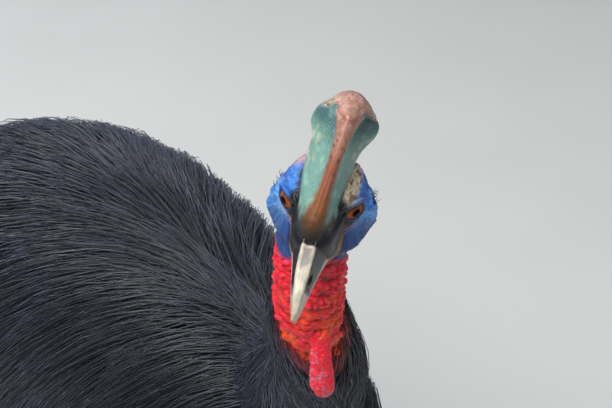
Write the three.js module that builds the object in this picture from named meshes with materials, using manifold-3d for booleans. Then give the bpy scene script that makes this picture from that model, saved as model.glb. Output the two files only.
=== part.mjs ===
// A northern cassowary, life size, standing still and turning its head to its right to look up at a visitor.
// Millimetres. +Z is up, the bird heads along -Y and +X is its left side. The floor is z = 0.
// Its soft parts are tubes of rings along a line. The coat is made of flat tapered locks that follow its lie.
import * as THREE from "three";
import { ParametricGeometry } from "three/addons/geometries/ParametricGeometry.js";
import { mergeVertices } from "three/addons/utils/BufferGeometryUtils.js";
import Module from "manifold-3d";

const wasm = await Module();
wasm.setup();
const { Manifold } = wasm;

// Gap between two pieces that touch, the wider one round locks, and the grid that corners are set to.
const GAP = 0.3;
const TWIST_GAP = 0.65;
const SNAP = 0.002;

// Steps, as shares of a curve, over which its direction and its slope are taken.
const DIRECTION_STEP = 0.004;
const SLOPE_STEP = 0.002;
const BAR_STEP = 0.01;

// How finely each tube is made: cells round it and from end to end.
const CELLS = {
  body: [18, 12], feathered: [16, 9], bare: [16, 18], wattle: [10, 11], head: [20, 13], casque: [20, 13],
  thigh: [12, 7], pad: [12, 7], claw: [6, 5], quill: [4, 4], stub: [8, 4],
};
const LIMB_SIDES = 8;
const RING_SIDES = 5;
const BALL_SIDES = 12;
const BALL_ROWS = 0.7;

// Body: the line of the core from breast to tail tip, and its half width, height above and depth below.
const BODY_LINE = [
  [0, -392, 742], [0, -292, 778], [0, -125, 795], [0, 55, 786],
  [0, 225, 742], [0, 372, 655], [0, 462, 535],
];
const BODY_WIDTH = [70, 104, 156, 192, 186, 148, 96];
const BODY_ABOVE = [88, 122, 178, 202, 184, 140, 84];
const BODY_BELOW = [120, 178, 232, 252, 236, 190, 120];
const BODY_BLUNT = 0.2;
const TAIL_SPLIT = 0.74;

// Coat: where its locks start along the core, how far their tips stand off it, and each lock's width,
// underside and ridge from root to tip, as shares of its full width and of how far its tip stands off.
const BODY_LOCKS = { from: 0.06, to: 0.72, rows: 5, spacing: 134, length: 235, width: 138, depth: 25 };
const TAIL_LOCKS = { from: 0.76, to: 0.94, rows: 2, spacing: 138, length: 165, width: 128, depth: 23 };
const NECK_LOCKS = { from: 0.3, to: 0.99, rows: 3, spacing: 74, length: 105, width: 62, depth: 12 };
const THIGH_LOCKS = { from: 0.3, to: 0.78, rows: 2, spacing: 112, length: 150, width: 106, depth: 14 };
const LOCK_WIDTH = [0.7, 1, 0.8, 0.03];
const LOCK_UNDER = [-0.6, -0.45, -0.2, 0.75];
const LOCK_RIDGE = [-0.1, 0.7, 0.95, 0.92];
const LOCK_START = 0.03;
const LOCK_END = 0.96;
const LOCK_VARY = { around: 0.3, along: 0.35, size: 0.28 };
const LOCKS_LEAST = 4;
const GIRTH_STEPS = 12;
const COAT_SEED = 11;

// How strongly the coat of the flanks and of the thighs hangs down. It fades in behind the breast, and out
// under the belly between two heights, as shares of the depth.
const BODY_HANG = 1.1;
const BREAST_END = 0.25;
const BELLY_FADE = [0.3, 0.95];
const THIGH_HANG = 0.3;

// Neck: its line from inside the breast to the head, and the radius of its feathered and of its bare part.
const NECK_LINE = [
  [0, -205, 800], [-4, -308, 893], [-38, -380, 985],
  [-77, -408, 1085], [-86, -420, 1165], [-78, -419, 1232],
];
const NECK_CORE = [98, 68, 42, 36.5, 36, 34];
const NECK_BARE = [30, 31, 32, 33, 33, 35];
const FEATHER_LINE = 0.66;
const FEATHER_DIP = 0.17;
const FEATHER_POINT = 1.5;
const BARE_START = 0.45;
const NECK_TURN = -42;
const NECK_TURN_SPAN = [0.1, 0.9];
const NECK_FOLDS = 7;
const NECK_FOLD_DEPTH = 1.6;
const NECK_FOLD_SLANT = [1.6, 0.9];
const NECK_FOLD_START = 0.1;
const NECK_FOLD_BLUNT = 0.2;
const NECK_HANG = new THREE.Vector3(0, 0.2, -0.4);

// Wattle: one lobe that hangs from the front of the bare neck.
const WATTLE_LENGTH = 86;
const WATTLE_WIDTH = 23;
const WATTLE_THICK = 13;
const WATTLE_AT = { u: 0.035, v: 0.645 };
const WATTLE_SUNK = 8;
const WATTLE_SHAPE = [0.7, 0.85, 0.8, 0.9, 1, 0.95, 0.6];
const WATTLE_OUT = 8;
const WATTLE_ASIDE = 4;
const WATTLE_BLUNT = 0.2;
const WATTLE_FOLDS = 5;
const WATTLE_FOLD = 0.08;

// Head: the point between the eyes, and its turn, tilt and lean in degrees.
const HEAD_AT = [-103, -452, 1250];
const HEAD_YAW = -54;
const HEAD_PITCH = 13;
const HEAD_ROLL = 4.5;

// Skull with its skin, from nape to the root of the bill, in the head's own frame.
const HEAD_BACK = -66;
const HEAD_FRONT = 56;
const HEAD_WIDTH = [20, 31, 35, 33, 27.5, 20.5, 13];
const HEAD_TOP = [10, 22, 27, 26, 22, 17, 10];
const HEAD_BOTTOM = [34, 48, 55, 54, 47, 36, 22];
const HEAD_BLUNT = 0.3;
const HEAD_NOSE_BLUNT = 0.12;

// How square its crown and its cheeks are: exponents across and up, where 1 is round.
const CROWN_SQUARE = [0.95, 0.92];
const CHEEK_SQUARE = [0.6, 0.75];

// Swells and hollows of the face: place, how far they push out, and their size.
const HEAD_BUMPS = [
  { at: [-12, 36, -22], push: 18, size: 23 },
  { at: [10, 27, -42], push: 9, size: 20 },
  { at: [5, 32, 0], push: -6, size: 14 },
  { at: [20, 26, -3], push: -4, size: 12 },
  { at: [0, 26, 19], push: 3, size: 10 },
  { at: [16, 30, -24], push: -8, size: 13 },
];

// Eyes: radius, and place as forward, left and up.
const EYE_RADIUS = 11.4;
const EYE_AT = [-1, 25.3, 4];
const LIDS = { turn: 52, radius: 11.2, thick: 2.9, flat: 0.95, out: 5.2, around: 10 };
const EAR_AT = { u: 0.27, v: 0.24 };
const EAR_RIM = { turn: 115, radius: 4.5, thick: 1.5, flat: 1.2, out: 0, around: 7 };

// Bill: from its root to its hooked tip.
const BILL_ROOT = 16;
const BILL_TIP = 113;
const BILL_WIDTH = [21, 18.5, 15, 12, 9.5, 6.5, 2.5];
const BILL_TOP = [8, 11, 11, 9, 4, -3, -16];
const BILL_MOUTH = [-24, -21, -18.5, -17, -17, -20, -26];
const CHIN = [-38, -36, -33, -30, -27, -25, -26];
const MOUTH_GAP = 0.7;
const CULMEN_HALF = 5.8;
const CULMEN_SHARE = 0.6;
const CULMEN_DROP = 1;
const BILL_SIDE = { out: 0.6, up: 0.55 };
const BILL_LIP = { up: 1.6, inset: 0.8 };
const LOWER_WIDTH = 0.92;
const LOWER_SIDE = { out: 0.7, up: 0.4 };
const LOWER_LIP = { up: 0.8, inset: 0.6 };
const CHIN_DEPTH = 1.5;
const LOWER_TIP = 0.95;
const BILL_ROWS = 12;
const NOSTRIL_AT = [88, 8.5, -5];
const NOSTRIL_SIZE = [6, 2.5, 2];
const NOSTRIL_SIDES = 10;

// Casque: sections from its root to its cap, each with a keel in front and two flared edges behind.
const CASQUE_KEEL = [56, 36, 14, -5, -20];
const CASQUE_KEEL_UP = [15, 36, 58, 78, 92];
const CASQUE_REAR = [-50, -55, -60, -63, -61];
const CASQUE_REAR_UP = [19, 36, 52, 68, 83];
const CASQUE_EDGE = [22, 22.5, 27, 30.5, 25.5];
const CASQUE_FLANK = [21, 16.5, 12, 11.5, 15];
const KEEL_HALF = [14, 6.5, 5, 7, 11];
const CASQUE_SHOULDER = 0.82;
const CASQUE_DOME = 7;
const CASQUE_SAG = 15;
const CASQUE_LEAN = 12;
const CASQUE_SUNK = 12;
const CASQUE_FOOT = 0.12;
const CASQUE_SAG_CURVE = 1.5;
const LEAN_HEIGHT = 20;
const KEEL_SLOPE = 0.7;
const REAR_CURVE = [8, -1, -4];
const REAR_WIDTH = 0.7;

// Legs: lines for the left leg; the right one is its mirror. One foot stands a little ahead of the other.
const LEG_APART = 108;
const STRIDE = 26;
const THIGH_LINE = [[4, 8, 650], [5, 44, 565], [2, 108, 470], [-2, 162, 385], [-3, 182, 338]];
const THIGH_RADIUS = [62, 78, 60, 34, 24];
const TARSUS_LINE = [[-3, 184, 340], [-3, 166, 270], [-1, 142, 170], [0, 118, 78], [0, 110, 42]];
const TARSUS_RADIUS = [27, 20, 18, 20, 24];
const LIMB_BLUNT = 0.09;
const SCUTES = 10;

// Feet: toe directions are degrees out from straight ahead, and lengths are without the claw.
const PAD_AT = [0, 110, 17];
const PAD_RADIUS = 27;
const PAD_LONG = 1.15;
const TOES = {
  inner: { turn: -30, length: 92, radius: 14, claw: 92, clawRadius: 9.5 },
  middle: { turn: 3, length: 158, radius: 16, claw: 46, clawRadius: 9 },
  outer: { turn: 35, length: 112, radius: 13.5, claw: 38, clawRadius: 8 },
};
const TOE_TAPER = 0.32;
const TOE_PRESS = 2;
const TOE_BLUNT = 0.1;
const JOINTS = 3;
const JOINT_BULGE = 0.07;
const CLAW_SUNK = 10;
const CLAW_POINT = 0.8;
const CLAW_ARCH = 6;
const CLAW_CLEAR = 0.6;
const CLAW_NARROWING = 0.7;
const CLAW_TALL = 1.1;
const CLAW_RAISED = 1;
const TOE_SCUTES = 4;
const SCUTE_RISE = 2;
const PLATE_EDGE = 0.04;
const PLATE_ROOT = 0.15;

// Wings: a small stub on each flank with a few long bare quills that fan out behind it. The reach of the stub
// is a share of the way round and along the body, and the fan is a share of the way round.
const WING_ROOT = { u: 0.245, v: 0.24 };
const WING_REACH = { u: 0.02, v: 0.1 };
const WING_SUNK = 8;
const WING_OUT = 35;
const WING_RADIUS = 19;
const WING_TAPER = 0.45;
const WING_BLUNT = 0.3;
const WING_ENDS = 0.05;
const WING_RISE = 0.8;
const WING_QUILLS = 5;
const QUILL_LENGTH = 250;
const QUILL_RADIUS = 3;
const QUILL_FAN = 0.07;
const QUILL_DROOP = 0.05;
const QUILL_OUT = 33;
const QUILL_BOW = 6;
const QUILL_START = 0.8;
const QUILL_SHORTER = 0.5;
const QUILL_TAPER = 0.7;
const BODY_LENGTH = 900;

const degrees = THREE.MathUtils.degToRad;
const smooth = THREE.MathUtils.smoothstep;

// A smooth curve through evenly spaced values.
function along(values, t) {
  const x = Math.min(Math.max(t, 0), 1) * (values.length - 1);
  const i = Math.min(Math.floor(x), values.length - 2);
  const w = x - i;
  const b = values[i];
  const c = values[i + 1];
  const a = i > 0 ? values[i - 1] : 2 * b - c;
  const d = i + 2 < values.length ? values[i + 2] : 2 * c - b;
  return b + 0.5 * w * (c - a + w * (2 * a - 5 * b + 4 * c - d + w * (3 * (b - c) + d - a)));
}

// The same curve through points in space.
function line(points) {
  const at = (t) => new THREE.Vector3(...[0, 1, 2].map((k) => along(points.map((p) => p[k]), t)));
  const heading = (t) =>
    at(Math.min(t + DIRECTION_STEP, 1)).sub(at(Math.max(t - DIRECTION_STEP, 0))).normalize();
  return { at, heading };
}

// One at the middle of a tube, falling to zero as a quarter circle over the share at each end.
function blunt(t, share) {
  const edge = Math.min(t, 1 - t) / share;
  return edge >= 1 ? 1 : Math.sqrt(Math.max(0, 1 - (1 - edge) ** 2));
}

// Steps along a tube: crowded together at both ends, or even.
const crowded = (t) => 0.5 - 0.5 * Math.cos(Math.PI * t);
const evenly = (t) => t;

// A small random number generator with a fixed seed.
function dice(seed) {
  let state = seed >>> 0;
  return () => {
    state = (state + 0x6d2b79f5) >>> 0;
    let t = Math.imul(state ^ (state >>> 15), state | 1);
    t ^= t + Math.imul(t ^ (t >>> 7), t | 61);
    return ((t ^ (t >>> 14)) >>> 0) / 4294967296;
  };
}

// Turns a closed geometry into a solid, without the empty triangles at its poles.
function solid(geometry) {
  const bare = new THREE.BufferGeometry();
  bare.setAttribute("position", geometry.getAttribute("position"));
  bare.setIndex(geometry.getIndex());
  const merged = mergeVertices(bare, 1e-3);
  const index = merged.index.array;
  const position = merged.attributes.position;
  const faces = [];
  for (let i = 0; i < index.length; i += 3) {
    const [a, b, c] = index.slice(i, i + 3);
    if (a !== b && b !== c && c !== a) faces.push([a, b, c]);
  }
  const corner = (i) => new THREE.Vector3().fromBufferAttribute(position, i);
  const volume = faces.reduce((sum, [a, b, c]) => sum + corner(a).dot(corner(b).cross(corner(c))), 0);
  const turned = volume < 0 ? faces.map(([a, b, c]) => [a, c, b]) : faces;
  return new Manifold(
    new wasm.Mesh({ numProp: 3, vertProperties: position.array, triVerts: new Uint32Array(turned.flat()) }),
  );
}

// A closed tube through rings of points, each ring with the same number of points.
function tube(rings) {
  const centre = (ring) => {
    const middle = ring.reduce((sum, p) => sum.add(p), new THREE.Vector3()).divideScalar(ring.length);
    return ring.map(() => middle);
  };
  const closed = [centre(rings[0]), ...rings, centre(rings[rings.length - 1])];
  const around = rings[0].length;
  const rows = closed.length - 1;
  const grid = (a, b, target) => target.copy(closed[Math.round(b * rows)][Math.round(a * around) % around]);
  return solid(new ParametricGeometry(grid, around, rows));
}

// A closed skin over point(u, v), with u round it and v from end to end.
function skin(point, [around, rows], spread = crowded) {
  const rings = Array.from({ length: rows + 1 }, (_, j) =>
    Array.from({ length: around }, (_, i) => point(i / around, spread(j / rows))),
  );
  return tube(rings);
}

// Keeps the largest closed surface of a solid.
function largest(body) {
  return body.decompose().reduce((best, piece) => (piece.volume() > best.volume() ? piece : best));
}

const join = (pieces) => Manifold.union(pieces);

// The core of the body: an egg-shaped tube. u = 0 is the ridge of the back and u = 0.25 its left side.
const bodyLine = line(BODY_LINE);
function bodyPoint(u, v, grow = 0) {
  const angle = 2 * Math.PI * u;
  const heading = bodyLine.heading(v);
  const up = new THREE.Vector3(0, -heading.z, heading.y);
  const share = blunt(v, BODY_BLUNT);
  const rise = Math.cos(angle) > 0 ? along(BODY_ABOVE, v) : along(BODY_BELOW, v);
  return bodyLine
    .at(v)
    .addScaledVector(new THREE.Vector3(1, 0, 0), (along(BODY_WIDTH, v) * share + grow) * Math.sin(angle))
    .addScaledVector(up, (rise * share + grow) * Math.cos(angle))
    .addScaledVector(heading, grow * (2 * v - 1));
}

// The neck, round its line. u = 0 is its front, which turns with the head, and u = 0.25 is its left side.
const neckLine = line(NECK_LINE);
function neckPoint(radii, u, v, grow = 0) {
  const heading = neckLine.heading(v);
  const turn = degrees(NECK_TURN) * smooth(v, ...NECK_TURN_SPAN);
  const front = new THREE.Vector3(Math.sin(turn), -Math.cos(turn), 0);
  front.addScaledVector(heading, -front.dot(heading)).normalize();
  const left = new THREE.Vector3().crossVectors(front, heading).negate();
  const angle = 2 * Math.PI * u;
  const radius = along(radii, v) + grow;
  return neckLine
    .at(v)
    .addScaledVector(front, radius * Math.cos(angle))
    .addScaledVector(left, radius * Math.sin(angle));
}

// The outward direction of a skin at (u, v).
function outward(point, u, v) {
  const from = Math.max(v - DIRECTION_STEP, 0);
  const to = Math.min(v + DIRECTION_STEP, 1);
  const round = point(u + DIRECTION_STEP, v).sub(point(u - DIRECTION_STEP, v));
  const onward = point(u, to).sub(point(u, from));
  return round.cross(onward).normalize();
}

// A lock of the coat over a skin. It starts at (u, v) and follows the lie, from a sunken root to a free tip.
// Where the skin ends, it goes straight on.
function lock(point, lie, side, { u, v, length, width, depth }, grow = 0) {
  const rings = [];
  const steps = LOCK_WIDTH.length - 1;
  const past = new THREE.Vector3();
  for (let i = 0; i <= steps; i++) {
    const normal = outward(point, u, v).multiplyScalar(side);
    const flow = lie(u, v);
    flow.addScaledVector(normal, -flow.dot(normal)).normalize();
    const across = new THREE.Vector3().crossVectors(flow, normal);
    const middle = point(u, v).addScaledVector(normal, depth * LOCK_UNDER[i] - grow).add(past);
    const rise = depth * (LOCK_RIDGE[i] - LOCK_UNDER[i]);
    const half = ((width * LOCK_WIDTH[i]) / 2) * (1 + (2 * grow) / rise) + grow;
    const ridge = middle.clone().addScaledVector(normal, rise + 2 * grow);
    rings.push([
      middle.clone().addScaledVector(across, half), ridge, middle.clone().addScaledVector(across, -half),
    ]);
    const du = point(u + SLOPE_STEP, v).sub(point(u - SLOPE_STEP, v)).divideScalar(2 * SLOPE_STEP);
    const dv = point(u, v + SLOPE_STEP).sub(point(u, v - SLOPE_STEP)).divideScalar(2 * SLOPE_STEP);
    const onward = (flow.dot(dv) / dv.lengthSq()) * (length / steps);
    const next = Math.min(Math.max(v + onward, LOCK_START), LOCK_END);
    const kept = (next - v) / onward;
    u += (flow.dot(du) / du.lengthSq()) * (length / steps) * kept;
    past.addScaledVector(flow, (1 - kept) * (length / steps));
    v = next;
  }
  return tube(rings);
}

// How far round a skin it is at v.
function girth(point, v) {
  const places = Array.from({ length: GIRTH_STEPS + 1 }, (_, i) => point(i / GIRTH_STEPS, v));
  return places.slice(1).reduce((sum, place, i) => sum + place.distanceTo(places[i]), 0);
}

// Locks in staggered rows over a skin, each a little different.
function coat(point, lie, side, { from, to, rows, spacing, length, width, depth }) {
  const random = dice(COAT_SEED);
  const locks = [];
  for (let row = 0; row < rows; row++) {
    const middle = from + ((to - from) * (row + 0.5)) / rows;
    const count = Math.max(LOCKS_LEAST, Math.round(girth(point, middle) / spacing));
    for (let i = 0; i < count; i++) {
      const u = (i + 0.5 * (row % 2) + LOCK_VARY.around * (random() - 0.5)) / count;
      const v = middle + (LOCK_VARY.along * (random() - 0.5) * (to - from)) / rows;
      const vary = 1 + LOCK_VARY.size * (random() - 0.5);
      const wide = width * (1.5 - 0.5 * vary);
      locks.push({ u, v, length: length * vary, width: wide, depth: depth * vary });
    }
  }
  return (grow) => join(locks.map((one) => lock(point, lie, side, one, grow)));
}

// The lie of the coat: back along the body and down its flanks, down the neck, and down each thigh.
function bodyLie(u, v) {
  const flank = 1 - smooth(-Math.cos(2 * Math.PI * u), ...BELLY_FADE);
  return bodyLine.heading(v).add(new THREE.Vector3(0, 0, -BODY_HANG * flank * smooth(v, 0, BREAST_END)));
}
const neckLie = (u, v) => neckLine.heading(v).negate().add(NECK_HANG);

// The bare neck, wrinkled by folds that run round it at a slant.
function barePoint(u, v, grow = 0) {
  const at = BARE_START + (1 - BARE_START) * v;
  const [once, twice] = NECK_FOLD_SLANT;
  const slant = once * Math.sin(2 * Math.PI * (u + NECK_FOLD_START)) + twice * Math.sin(4 * Math.PI * u);
  const fold = NECK_FOLD_DEPTH * Math.sin(2 * Math.PI * NECK_FOLDS * v + slant);
  const ends = neckLine.heading(at).multiplyScalar(grow * (2 * v - 1));
  return neckPoint(NECK_BARE, u, at, grow + fold * blunt(v, NECK_FOLD_BLUNT)).add(ends);
}

// The wattle, round a line that hangs from the front of the neck. u = 0 is its front.
function wattlePoint(u, v, grow = 0) {
  const root = neckPoint(NECK_BARE, WATTLE_AT.u, WATTLE_AT.v, -WATTLE_SUNK);
  const angle = 2 * Math.PI * u;
  const turn = degrees(NECK_TURN);
  const front = new THREE.Vector3(Math.sin(turn), -Math.cos(turn), 0);
  const left = new THREE.Vector3(Math.cos(turn), Math.sin(turn), 0);
  const share = along(WATTLE_SHAPE, v) * (v > 1 - WATTLE_BLUNT ? blunt(v, WATTLE_BLUNT) : 1);
  const fold = 1 + WATTLE_FOLD * Math.sin(2 * Math.PI * (WATTLE_FOLDS * v + u));
  return root
    .addScaledVector(front, WATTLE_OUT * Math.sin(Math.PI * Math.min(v, 0.5)))
    .addScaledVector(front, ((WATTLE_THICK / 2) * share * fold + grow) * Math.cos(angle))
    .addScaledVector(left, ((WATTLE_WIDTH / 2) * share * fold + grow) * Math.sin(angle))
    .addScaledVector(left, WATTLE_ASIDE * v)
    .add(new THREE.Vector3(0, 0, -WATTLE_LENGTH * v));
}

// The head's own frame: forward, left and up from the point between the eyes.
const headFrame = new THREE.Matrix4()
  .makeTranslation(...HEAD_AT)
  .multiply(new THREE.Matrix4().makeRotationZ(degrees(HEAD_YAW)))
  .multiply(new THREE.Matrix4().makeRotationX(degrees(HEAD_PITCH)))
  .multiply(new THREE.Matrix4().makeRotationY(degrees(HEAD_ROLL)));
const inHead = (forward, left, up) => new THREE.Vector3(left, -forward, up).applyMatrix4(headFrame);
const power = (x, exponent) => Math.sign(x) * Math.abs(x) ** exponent;

// The skull with its skin. u = 0 is the crown and v runs from the nape to the root of the bill.
function headPoint(u, v, grow = 0) {
  const angle = 2 * Math.PI * u;
  const share = blunt(v, v < 0.5 ? HEAD_BLUNT : HEAD_NOSE_BLUNT);
  const height = along(Math.cos(angle) > 0 ? HEAD_TOP : HEAD_BOTTOM, v);
  const [across, upward] = Math.cos(angle) > 0 ? CROWN_SQUARE : CHEEK_SQUARE;
  let left = (along(HEAD_WIDTH, v) * share + grow) * power(Math.sin(angle), across);
  const forward = HEAD_BACK + (HEAD_FRONT - HEAD_BACK) * v + grow * (2 * v - 1);
  const up = (height * share + grow) * power(Math.cos(angle), upward);
  for (const { at, push, size } of HEAD_BUMPS) {
    const away = (forward - at[0]) ** 2 + (Math.abs(left) - at[1]) ** 2 + (up - at[2]) ** 2;
    left += Math.sign(left) * push * Math.exp(-away / size ** 2);
  }
  return inHead(forward, left, up);
}

// The casque. u = 0 is its keel, u = 0.5 the middle of its flat rear, and v runs from its root to its cap.
function casquePoint(u, v, grow = 0) {
  const h = Math.min(v / CASQUE_SHOULDER, 1);
  const dome = Math.max((v - CASQUE_SHOULDER) / (1 - CASQUE_SHOULDER), 0) * (Math.PI / 2);
  const keel = along(CASQUE_KEEL, h);
  const rear = along(CASQUE_REAR, h);
  const edge = along(CASQUE_EDGE, h);
  const ridge = along(KEEL_HALF, h);
  const half = 2 * Math.min(u, 1 - u);
  const outline = [keel, keel - KEEL_SLOPE * ridge, (rear + keel) / 2, ...REAR_CURVE.map((x) => rear + x)];
  const widths = [0, ridge, along(CASQUE_FLANK, h), edge, REAR_WIDTH * edge, 0];
  const forward = along(outline, half);
  const flare = Math.max(along(widths, half), 0);
  const wide = (flare + grow * Math.sin(Math.PI * half)) * Math.cos(dome) * (u < 0.5 ? 1 : -1);
  const share = (forward - rear) / (keel - rear);
  const rise = along(CASQUE_REAR_UP, h) * (1 - share) + along(CASQUE_KEEL_UP, h) * share;
  const sag = CASQUE_SAG * h ** CASQUE_SAG_CURVE * (flare / edge) ** 2 * Math.cos(dome) ** 2;
  const sunk = CASQUE_SUNK * Math.max(0, 1 - v / CASQUE_FOOT);
  const up = rise - sunk - sag + CASQUE_DOME * Math.sin(dome) - CASQUE_KEEL_UP[0];
  const middle = (keel + rear) / 2;
  const lean = degrees(CASQUE_LEAN) * Math.min(1, Math.max(0, up / LEAN_HEIGHT));
  const left = wide * Math.cos(lean) + up * Math.sin(lean);
  const high = up * Math.cos(lean) - wide * Math.sin(lean) + CASQUE_KEEL_UP[0];
  return inHead(middle + (forward - middle) * Math.cos(dome), left, high);
}

// Half outlines of the two halves of the bill at share v of its length, as [left, up].
function upperBill(v) {
  const width = along(BILL_WIDTH, v);
  const top = along(BILL_TOP, v);
  const mouth = along(BILL_MOUTH, v) + MOUTH_GAP / 2;
  const ridge = Math.min(CULMEN_HALF, CULMEN_SHARE * width);
  const side = [ridge + BILL_SIDE.out * (width - ridge), mouth + BILL_SIDE.up * (top - mouth)];
  return [
    [0, top], [ridge, top - CULMEN_DROP], side,
    [width, mouth + BILL_LIP.up], [width - BILL_LIP.inset, mouth], [0, mouth],
  ];
}
function lowerBill(v) {
  const width = LOWER_WIDTH * along(BILL_WIDTH, v);
  const mouth = along(BILL_MOUTH, v) - MOUTH_GAP / 2;
  const chin = Math.min(along(CHIN, v), mouth - CHIN_DEPTH);
  const side = [LOWER_SIDE.out * width, chin + LOWER_SIDE.up * (mouth - chin)];
  return [[0, mouth], [width - LOWER_LIP.inset, mouth], [width, mouth - LOWER_LIP.up], side, [0, chin]];
}
function bill(outline, tip, grow = 0) {
  const rings = Array.from({ length: BILL_ROWS + 1 }, (_, j) => {
    const v = (j / BILL_ROWS) * tip;
    const forward = BILL_ROOT + (BILL_TIP - BILL_ROOT) * v + grow * (2 * v - 1);
    const left = outline(v);
    const middle = (left[0][1] + left[left.length - 1][1]) / 2;
    const right = left.slice(1, -1).reverse().map(([x, up]) => [-x, up]);
    return [...left, ...right].map(([x, up]) =>
      inHead(forward, x + grow * Math.sign(x), up + grow * Math.sign(up - middle)),
    );
  });
  return tube(rings);
}

// The place on one side of the skull at (u, v), as forward, left and up.
function onHead(side, { u, v }) {
  const place = headPoint(side > 0 ? u : 1 - u, v).applyMatrix4(headFrame.clone().invert());
  return [-place.y, place.x, place.z];
}

// A ball stretched along the head's axes, at a place in the head.
function headBall([forward, left, up], [long, wide, high], around = BALL_SIDES) {
  const ball = new THREE.SphereGeometry(1, around, Math.round(around * BALL_ROWS));
  ball.scale(wide, long, high).translate(left, -forward, up);
  return solid(ball.applyMatrix4(headFrame));
}

// A ring on the head that faces out by a turn from straight ahead.
function headRing([forward, left, up], { turn, radius, thick, flat, out, around }) {
  const facing = Math.sign(left) * degrees(turn);
  const ring = new THREE.TorusGeometry(radius, thick, RING_SIDES, around).scale(1, flat, 1);
  ring.rotateX(Math.PI / 2).rotateZ(facing);
  ring.translate(left + out * Math.sin(facing), -forward - out * Math.cos(facing), up);
  return solid(ring.applyMatrix4(headFrame));
}

// A limb round its line, on one side of the bird. u = 0 is its front.
function limbPoint(side, points, radii, u, v, grow = 0) {
  const limb = line(points);
  const heading = limb.heading(v);
  const front = new THREE.Vector3(0, heading.z, -heading.y).normalize();
  const out = new THREE.Vector3().crossVectors(heading, front).normalize();
  const angle = 2 * Math.PI * u;
  const radius = along(radii, v) * blunt(v, LIMB_BLUNT) + grow;
  const place = limb
    .at(v)
    .addScaledVector(heading, grow * (2 * v - 1))
    .addScaledVector(front, radius * Math.cos(angle))
    .addScaledVector(out, radius * Math.sin(angle));
  return place.set(side * (LEG_APART + place.x), place.y + side * STRIDE, place.z);
}

// How far the plates over a limb or a toe stand out at (u, v): each is highest at its lower lip.
function plates(count, u, v) {
  const lip = PLATE_ROOT + (1 - PLATE_ROOT) * (v * count - Math.floor(v * count));
  return SCUTE_RISE * lip * Math.max(0, Math.cos(2 * Math.PI * u));
}
// The rows of rings that give each plate its two edges.
const plateRows = (count) => 2 * count - 1;
const plateSteps = (count) => (t) => {
  const row = Math.round(t * plateRows(count));
  return (Math.floor(row / 2) + (row % 2 ? 1 - PLATE_EDGE : PLATE_EDGE)) / count;
};

const above = (body) => body.trimByPlane([0, 0, 1], 0);

// The directions of a toe: ahead along it and across it.
function toeAxes(side, turn) {
  const angle = degrees(turn) * side;
  return {
    ahead: new THREE.Vector3(Math.sin(angle), -Math.cos(angle), 0),
    across: new THREE.Vector3(Math.cos(angle), Math.sin(angle), 0),
  };
}

// A toe, from inside the foot's pad to the root of its claw. u = 0 is its top.
function toePoint(side, toe, u, v, grow = 0) {
  const { ahead, across } = toeAxes(side, toe.turn);
  const angle = 2 * Math.PI * u;
  const plain = toe.radius * (1 - TOE_TAPER * v);
  const joints = 1 + JOINT_BULGE * Math.cos(2 * Math.PI * JOINTS * v);
  const radius = plain * joints * blunt(v, TOE_BLUNT) + grow;
  return new THREE.Vector3(side * (LEG_APART + PAD_AT[0]), PAD_AT[1] + side * STRIDE, plain - TOE_PRESS)
    .addScaledVector(ahead, toe.length * v + grow * (2 * v - 1))
    .addScaledVector(across, radius * Math.sin(angle))
    .add(new THREE.Vector3(0, 0, radius * Math.cos(angle)));
}

// A claw, from inside the toe to its tip close over the floor.
function clawPoint(side, toe, u, v, grow = 0) {
  const { ahead, across } = toeAxes(side, toe.turn);
  const angle = 2 * Math.PI * u;
  const radius = toe.clawRadius * (1 - v) ** CLAW_NARROWING + CLAW_POINT + grow;
  const high = toe.radius * (1 - TOE_TAPER) - TOE_PRESS + CLAW_RAISED;
  const low = CLAW_POINT * CLAW_TALL + CLAW_CLEAR;
  const arch = CLAW_ARCH * Math.sin(Math.PI * v);
  return new THREE.Vector3(side * (LEG_APART + PAD_AT[0]), PAD_AT[1] + side * STRIDE, 0)
    .addScaledVector(ahead, toe.length - CLAW_SUNK + (toe.claw + CLAW_SUNK) * v)
    .addScaledVector(across, radius * Math.sin(angle))
    .add(new THREE.Vector3(0, 0, high + (low - high) * v + arch + radius * CLAW_TALL * Math.cos(angle)));
}

// A round bar of falling radius along a curve.
function bar(at, [around, rows], radius, grow) {
  const rings = Array.from({ length: rows + 1 }, (_, j) => {
    const t = j / rows;
    const heading = at(Math.min(t + BAR_STEP, 1)).sub(at(Math.max(t - BAR_STEP, 0))).normalize();
    const one = new THREE.Vector3(heading.z, 0, -heading.x).normalize();
    const two = new THREE.Vector3().crossVectors(heading, one);
    return Array.from({ length: around }, (_, i) => {
      const angle = (2 * Math.PI * i) / around;
      return at(t)
        .addScaledVector(heading, 2 * grow * (2 * t - 1))
        .addScaledVector(one, (radius(t) + grow) * Math.cos(angle))
        .addScaledVector(two, (radius(t) + grow) * Math.sin(angle));
    });
  });
  return tube(rings);
}

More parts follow.
